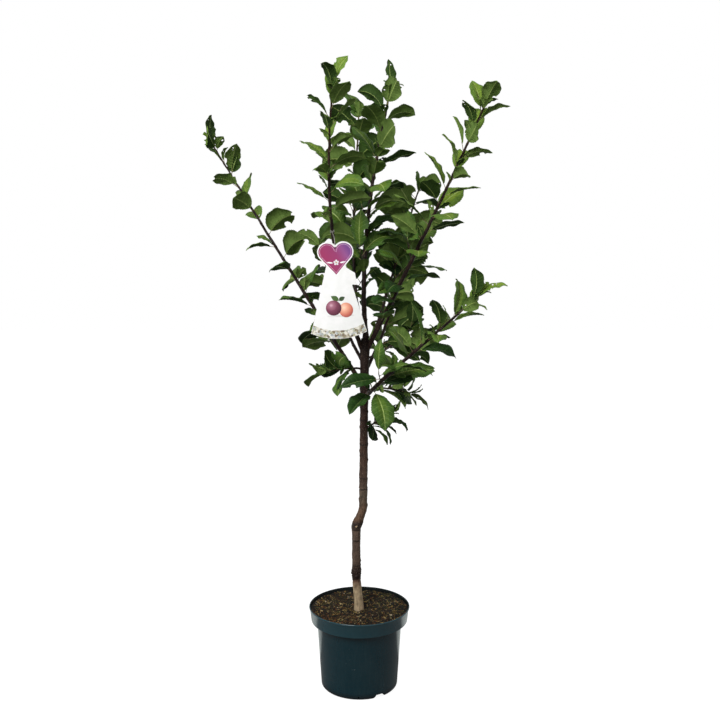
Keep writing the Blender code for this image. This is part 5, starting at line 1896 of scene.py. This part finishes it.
@dataclass(frozen=True)
class Tie:
    """The label's tie: two wires twisted together, round the bough, down, and through the label's hole."""

    shoot: str = "left_leader"
    share: float = 0.489
    length: float = 0.023
    shift: float = 0.006
    radius: float = 0.8 * MM
    clearance: float = 0.3 * MM
    hole_drop: float = 0.0150
    hole_radius: float = 2.2 * MM
    loop_radius: float = 5.0 * MM
    wire: float = 0.42 * MM
    pitch: float = 4.4 * MM
    twist_step: float = 0.45 * MM

    def top(self) -> tuple[Array, Array, Array, float]:
        """The bough's middle at the ring, its direction, the way forward, and the ring's radius."""
        shoot = next(shoot for shoot in SHOOTS if shoot.name == self.shoot)
        centre, ahead = along(shoot.axis(), self.share)
        forward = unit(FRONT - ahead * ahead.dot(FRONT))
        return centre, ahead, forward, shoot.radius_at(self.share) + self.clearance + self.radius

    def origin(self) -> Array:
        """Where the label's top middle hangs."""
        centre, _, forward, major = self.top()
        return centre + forward * major + np.array([self.shift, 0.0, -self.length])

    def twist(self, surface: Surface, line: Array) -> None:
        """Adds two wires twisted round a line."""
        lengths = np.concatenate([[0], np.cumsum(np.linalg.norm(np.diff(line, axis=0), axis=1))])
        count = max(12, int(lengths[-1] / self.twist_step))
        even = np.linspace(0, lengths[-1], count)
        middle = np.column_stack([np.interp(even, lengths, line[:, axis]) for axis in range(3)])
        ahead = np.gradient(middle, axis=0)
        ahead /= np.linalg.norm(ahead, axis=1)[:, None]
        side = np.cross(ahead, unit(np.array([0.3, 0.9, 0.2])))
        side /= np.linalg.norm(side, axis=1)[:, None]
        other = np.cross(ahead, side)
        for start in (0.0, math.pi):
            turn = (start + even * 2 * math.pi / self.pitch)[:, None]
            wound = middle + (side * np.cos(turn) + other * np.sin(turn)) * self.wire
            surface.limb(wound, np.full(count, self.wire), 8)

    def build(self) -> None:
        """Makes the ring, the drop with its two ends, and the loop."""
        centre, ahead, forward, major = self.top()
        surface = Surface()
        turns = np.linspace(-0.5 * math.pi, 3.1 * math.pi, 60)
        coil = np.outer(np.sin(turns), np.cross(ahead, forward)) + np.outer(np.cos(turns), forward)
        rise = np.outer((turns / math.pi - 1.3) * 0.9 * MM, ahead)
        surface.limb(centre + coil * (major - 0.3 * MM) + rise, np.full(60, self.wire), 8)
        top = centre + forward * (major + 0.3 * MM)
        seat = self.hole_drop - self.hole_radius + self.radius + self.clearance
        loop_middle = self.origin() - UP * (seat - self.loop_radius)
        drop = loop_middle + UP * self.loop_radius - top
        shares = np.linspace(0, 1, 12)[:, None]
        bow = np.sin(shares * math.pi) * 1.2 * MM * np.array([1.0, -0.4, 0.0])
        self.twist(surface, top + drop * shares + bow)
        for sign, length in ((1.0, 9.0 * MM), (-1.0, 6.5 * MM)):
            way = unit(UP * 0.8 + np.array([sign * 0.75, -0.5, 0.0]))
            self.twist(surface, top + np.outer(np.linspace(0, length, 8), way) * (1 - 0.1 * sign))
        turns = np.linspace(0, 2 * math.pi, 40)
        loop = (np.outer(np.sin(turns), FRONT) + np.outer(np.cos(turns), UP)) * self.loop_radius
        surface.limb(loop_middle + loop, np.full(40, self.wire * 1.15), 8)
        claim(surface.piece("twisted_tie", [Wire("covered_wire")], 50.0), "tie_wire", "tie")


def swung(ring: Iterable[Pair], across: float, up: float, turn: float) -> list[Pair]:
    """An outline turned in degrees and moved to a place."""
    cos, sin = math.cos(math.radians(turn)), math.sin(math.radians(turn))
    return [(across + x * cos - y * sin, up + x * sin + y * cos) for x, y in ring]


def oval(across: float, up: float, wide: float, high: float, turn: float = 0.0,
         points: int = 40) -> list[Pair]:
    """An oval outline round a place, with its half-width and half-height, turned in degrees."""
    turns = [step * 2 * math.pi / points for step in range(points)]
    return swung([(wide * math.cos(step), high * math.sin(step)) for step in turns], across, up, turn)


def pointed(across: float, up: float, length: float, wide: float, turn: float) -> list[Pair]:
    """A leaf-shaped outline from a place, in a direction in degrees."""
    half = [(length * share, wide * math.sin(math.pi * share ** 0.85)) for share in np.linspace(0, 1, 14)]
    return swung(half + [(x, -y) for x, y in reversed(half[1:-1])], across, up, turn)


def mirrored(half: list[Pair], first: int = 1) -> list[Pair]:
    """A right half that ends on the middle line, and the way back along its mirror image."""
    return half + [(-across, up) for across, up in reversed(half[first:-1])]


@dataclass(frozen=True)
class Label:
    """The card label: a heart over a skirt, with a heart of ink, a plain plum picture and a mottled foot."""

    origin: Array
    tilt: float = -2.5
    thickness: float = 0.9 * MM
    lobe: float = 0.0190
    lobe_radius: float = 0.0246
    print_lobe: float = 0.0200
    heart: float = 0.084
    skirt_top: Pair = (0.0234, 0.057)
    skirt_low: Pair = (0.068, 0.2205)
    bottom: float = 0.236
    strip: float = 0.0200
    hole: Pair = (0.0150, 2.2 * MM)
    ink: float = 0.08 * MM
    second: tuple[Pair, ...] = (
        (0.020, -0.060), (0.0455, -0.0775), (0.0480, -0.1060), (0.0300, -0.1040), (0.020, -0.100),
    )

    def outline(self) -> list[Pair]:
        """The card's outline."""
        waist = (self.skirt_top[0], -self.skirt_top[1])
        return mirrored([*self.lobe_arc(0.0, self.lobe, self.heart), waist, *self.foot(0.0)])

    def lobe_arc(self, inset: float, lobe: float, low: float) -> list[Pair]:
        """The right lobe of a heart, from the notch round to where its side runs straight.

        Args:
            inset: How far the lobe is set inwards.
            lobe: How far its middle lies from the heart's.
            low: How deep the heart's tip lies.

        Returns:
            The outline's points.
        """
        radius = self.lobe_radius - inset
        drop = low - self.lobe_radius
        notch = math.acos(max(-1.0, -lobe / radius))
        tangent = math.atan2(-drop, -lobe) + math.acos(radius / math.hypot(lobe, drop))
        return [
            (lobe + radius * math.cos(turn), -self.lobe_radius + radius * math.sin(turn))
            for turn in np.linspace(notch, tangent, 24)
        ]

    def foot(self, rise: float) -> list[Pair]:
        """The right half of the skirt's curved foot, or a curve that lies above it."""
        wide, side = self.skirt_low
        wide -= rise * (wide - self.skirt_top[0]) / (side - self.skirt_top[1])
        turns = np.linspace(0, math.pi / 2, 16)
        return [(wide * math.cos(turn), (self.bottom - side) * math.cos(turn) ** 2 - self.bottom + rise)
                for turn in turns]

    def heart_outline(self, inset: float) -> list[Pair]:
        """The heart's outline, set inwards."""
        low = self.heart - 1.35 * inset
        return mirrored([*self.lobe_arc(inset, self.print_lobe, low), (0.0, -low)])

    def strip_outline(self) -> list[Pair]:
        """The outline of the mottled strip along the foot, wavy above."""
        low = mirrored(self.foot(0.4 * MM), 0)
        high = [(across, up + 0.5 * MM * math.sin(260 * across)) for across, up in self.foot(self.strip)]
        return [(0.985 * across, up) for across, up in low + mirrored(high, 0)[::-1]]

    def place(self, depth: float) -> Matrix:
        """The move that hangs a plate with its middle a depth behind the card's middle."""
        return (Matrix.Translation(self.origin) @ Matrix.Rotation(math.radians(self.tilt), 4, "Y")
                @ Matrix.Translation((0, depth, 0)))

    def spot(self, across: float, up: float) -> Triple:
        """A place on the card as it hangs."""
        return tuple(self.place(0) @ Vector((across, 0, up)))

    def fruit(self, name: str, across: float, up: float, radius: float, **looks: Stops) -> FruitInk:
        """The ink of a printed fruit round a place on the card."""
        return FruitInk(name, self.spot(across - 0.3 * radius, up + 0.35 * radius), radius, **looks)

    def prints(self) -> list[tuple[list[list[Pair]], Finish, int]]:
        """What is printed on the card: outlines, their ink and how many layers lie below."""
        edge = Card("print_dark_edge", (120, 34, 78), (104, 30, 76))
        line = Card("print_line", (232, 196, 220), (220, 176, 206))
        shadow = Card("print_shadow", (226, 224, 222), (234, 233, 231))
        green = Card("print_green", (92, 120, 64), (70, 98, 50))
        deep_green = Card("print_dark_green", (60, 84, 44), (48, 70, 38))
        white = Card("print_white", (248, 244, 246), (240, 236, 240))
        gold = Card("print_gold", (226, 190, 96), (204, 166, 76))
        plum, gage = (-0.0105, -0.1600), (0.0195, -0.1660)
        amber = ((0.0, (255, 222, 196)), (0.3, (246, 180, 150)), (0.7, (214, 118, 98)), (1.0, (150, 70, 70)))
        layers = [
            ([self.heart_outline(3.6 * MM)], edge, 0),
            ([self.heart_outline(4.1 * MM)], HeartInk("print_heart", self.spot(0.004, -0.036)), 1),
            ([self.heart_outline(6.4 * MM), self.heart_outline(7.2 * MM)], line, 2),
            ([self.strip_outline()], MottledInk("print_mottle"), 0),
            ([oval(0.006, -0.1795, 0.0330, 0.0030)], shadow, 0),
            ([pointed(0.0030, -0.1420, 0.022, 0.0062, 150)], green, 1),
            ([pointed(0.0030, -0.1420, 0.017, 0.0052, 28)], deep_green, 1),
            ([oval(*gage, 0.0170, 0.0180, 12)], self.fruit("print_gage", *gage, 0.0175, stops=amber), 1),
            ([oval(*plum, 0.0188, 0.0184)], self.fruit("print_plum", *plum, 0.0187), 2),
        ]
        for turn in range(90, 450, 72):
            across, up = 0.0036 * math.cos(math.radians(turn)), 0.0036 * math.sin(math.radians(turn))
            layers.append(([oval(across + 0.001, up - 0.050, 0.0034, 0.0025, turn, 20)], white, 3))
        layers.append(([oval(0.001, -0.050, 0.0015, 0.0015, points=16)], gold, 4))
        for side in (-1, 1):
            slip = pointed(0.001 + side * 0.0078, -0.0512, 0.016, 0.0019, 90 - side * 80)
            layers.append(([slip], white, 3))
        return layers

    def build(self) -> None:
        """Makes the card, the second card behind it and the prints on it."""
        white = Card("label_white", (250, 249, 248), (244, 244, 242))
        hole = oval(0, -self.hole[0], self.hole[1], self.hole[1], points=24)
        card = flat("label_card_front", [self.outline(), hole], self.thickness, white, 0.08 * MM)
        card.data.transform(self.place(0))
        claim(card, "label_card", "label")
        second = flat("label_card_back", [self.second], 0.5 * MM, white, 0.05 * MM)
        second.data.transform(self.place(0.5 * self.thickness + 0.3 * MM))
        claim(second, "label_card", "label")
        plates = []
        for number, (outlines, finish, layer) in enumerate(self.prints()):
            plate = flat(f"print_{number}", outlines, self.ink, finish)
            plate.data.transform(self.place(-0.5 * self.thickness - (layer + 0.4) * self.ink))
            plates.append(plate)
        claim(joined("label_print", plates), "label_card", "label")


# Studio


@dataclass(frozen=True)
class Lamp:
    """A square soft light: its place, its side and its power in watts."""

    name: str
    place: Triple
    side: float
    power: float
    target: Triple = (0.0, 0.0, 0.8)
    shows: bool = False

    def build(self) -> Piece:
        """Makes the light, aimed at its target."""
        data = bpy.data.lights.new(self.name, "AREA")
        data.shape = "SQUARE"
        data.size = self.side
        data.energy = self.power
        lamp = bpy.data.objects.new(self.name, data)
        lamp.location = self.place
        way = Vector(self.target) - Vector(self.place)
        lamp.rotation_euler = way.to_track_quat("-Z", "Y").to_euler()
        lamp.visible_glossy = self.shows
        bpy.context.scene.collection.objects.link(lamp)
        return lamp


@dataclass(frozen=True)
class Studio:
    """A white studio: the camera, soft lights, a bright surround and a pale floor."""

    camera_place: Triple = (0.0017, -2.6, 1.292)
    pitch: float = 9.30
    lens: float = 52.38
    sky: Pair = (0.08, 0.50)
    lamps: tuple[Lamp, ...] = (
        Lamp("key", (-1.3, -2.5, 3.0), 1.5, 118.0, shows=True),
        Lamp("right_side", (2.4, -1.2, 1.4), 1.4, 7.0),
        Lamp("left_side", (-2.4, -1.2, 1.4), 1.4, 14.0),
        Lamp("behind", (0.8, 2.7, 2.2), 1.6, 44.0),
        Lamp("right_edge", (2.3, 1.75, 0.3), 1.7, 8.0, (0.0, 0.0, 0.15), True),
        Lamp("left_edge", (-2.3, 1.75, 0.3), 1.7, 8.0, (0.0, 0.0, 0.15), True),
    )

    def build(self) -> None:
        """Sets up the studio and its camera."""
        scene = bpy.context.scene
        scene.view_settings.view_transform = "Standard"
        data = bpy.data.cameras.new("camera")
        data.lens = self.lens
        data.sensor_width = 36.0
        camera = bpy.data.objects.new("camera", data)
        camera.location = self.camera_place
        camera.rotation_euler = (math.radians(90 - self.pitch), 0, 0)
        scene.collection.objects.link(camera)
        scene.camera = camera
        self.surround(scene)
        deselect()
        bpy.ops.mesh.primitive_plane_add(size=14.0, location=(0, 0, -0.0005))
        floor = bpy.context.object
        floor.name = "floor"
        floor.data.materials.append(Ground("floor").material())
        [lamp.build() for lamp in self.lamps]

    def surround(self, scene: bpy.types.Scene) -> None:
        """Makes the surround white to the camera and a soft even light to the object."""
        scene.world = bpy.data.worlds.new("surround")
        scene.world.use_nodes = True
        graph = Graph(scene.world.node_tree)
        way = graph.add("ShaderNodeTexCoord", output="Generated")
        above = graph.add("ShaderNodeSeparateXYZ", values={0: way}, output=2).rise(-0.6, 0.9)
        seen = graph.add("ShaderNodeLightPath", output="Is Camera Ray")
        lit = above * (self.sky[1] - self.sky[0]) + self.sky[0]
        background = graph.tree.nodes["Background"].inputs
        graph.feed(background["Color"], (1.0, 1.0, 1.0, 1.0))
        graph.feed(background["Strength"], seen + (1 - seen) * lit)


def corners(bounds: tuple[Vector, Vector]) -> list[list[float]]:
    """The two corners of a box as plain lists."""
    return [[float(value) for value in corner] for corner in bounds]


def main() -> None:
    """Builds the studio, the plant, its pot and its label."""
    logging.basicConfig(level=logging.INFO, format="%(name)s %(message)s")
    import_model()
    Studio().build()
    Pot().build()
    soil = Soil()
    soil.build_bed()
    soil.build_scraps()
    Plant().build()
    tie = Tie()
    tie.build()
    Label(tie.origin()).build()


if __name__ == "__main__":
    main()
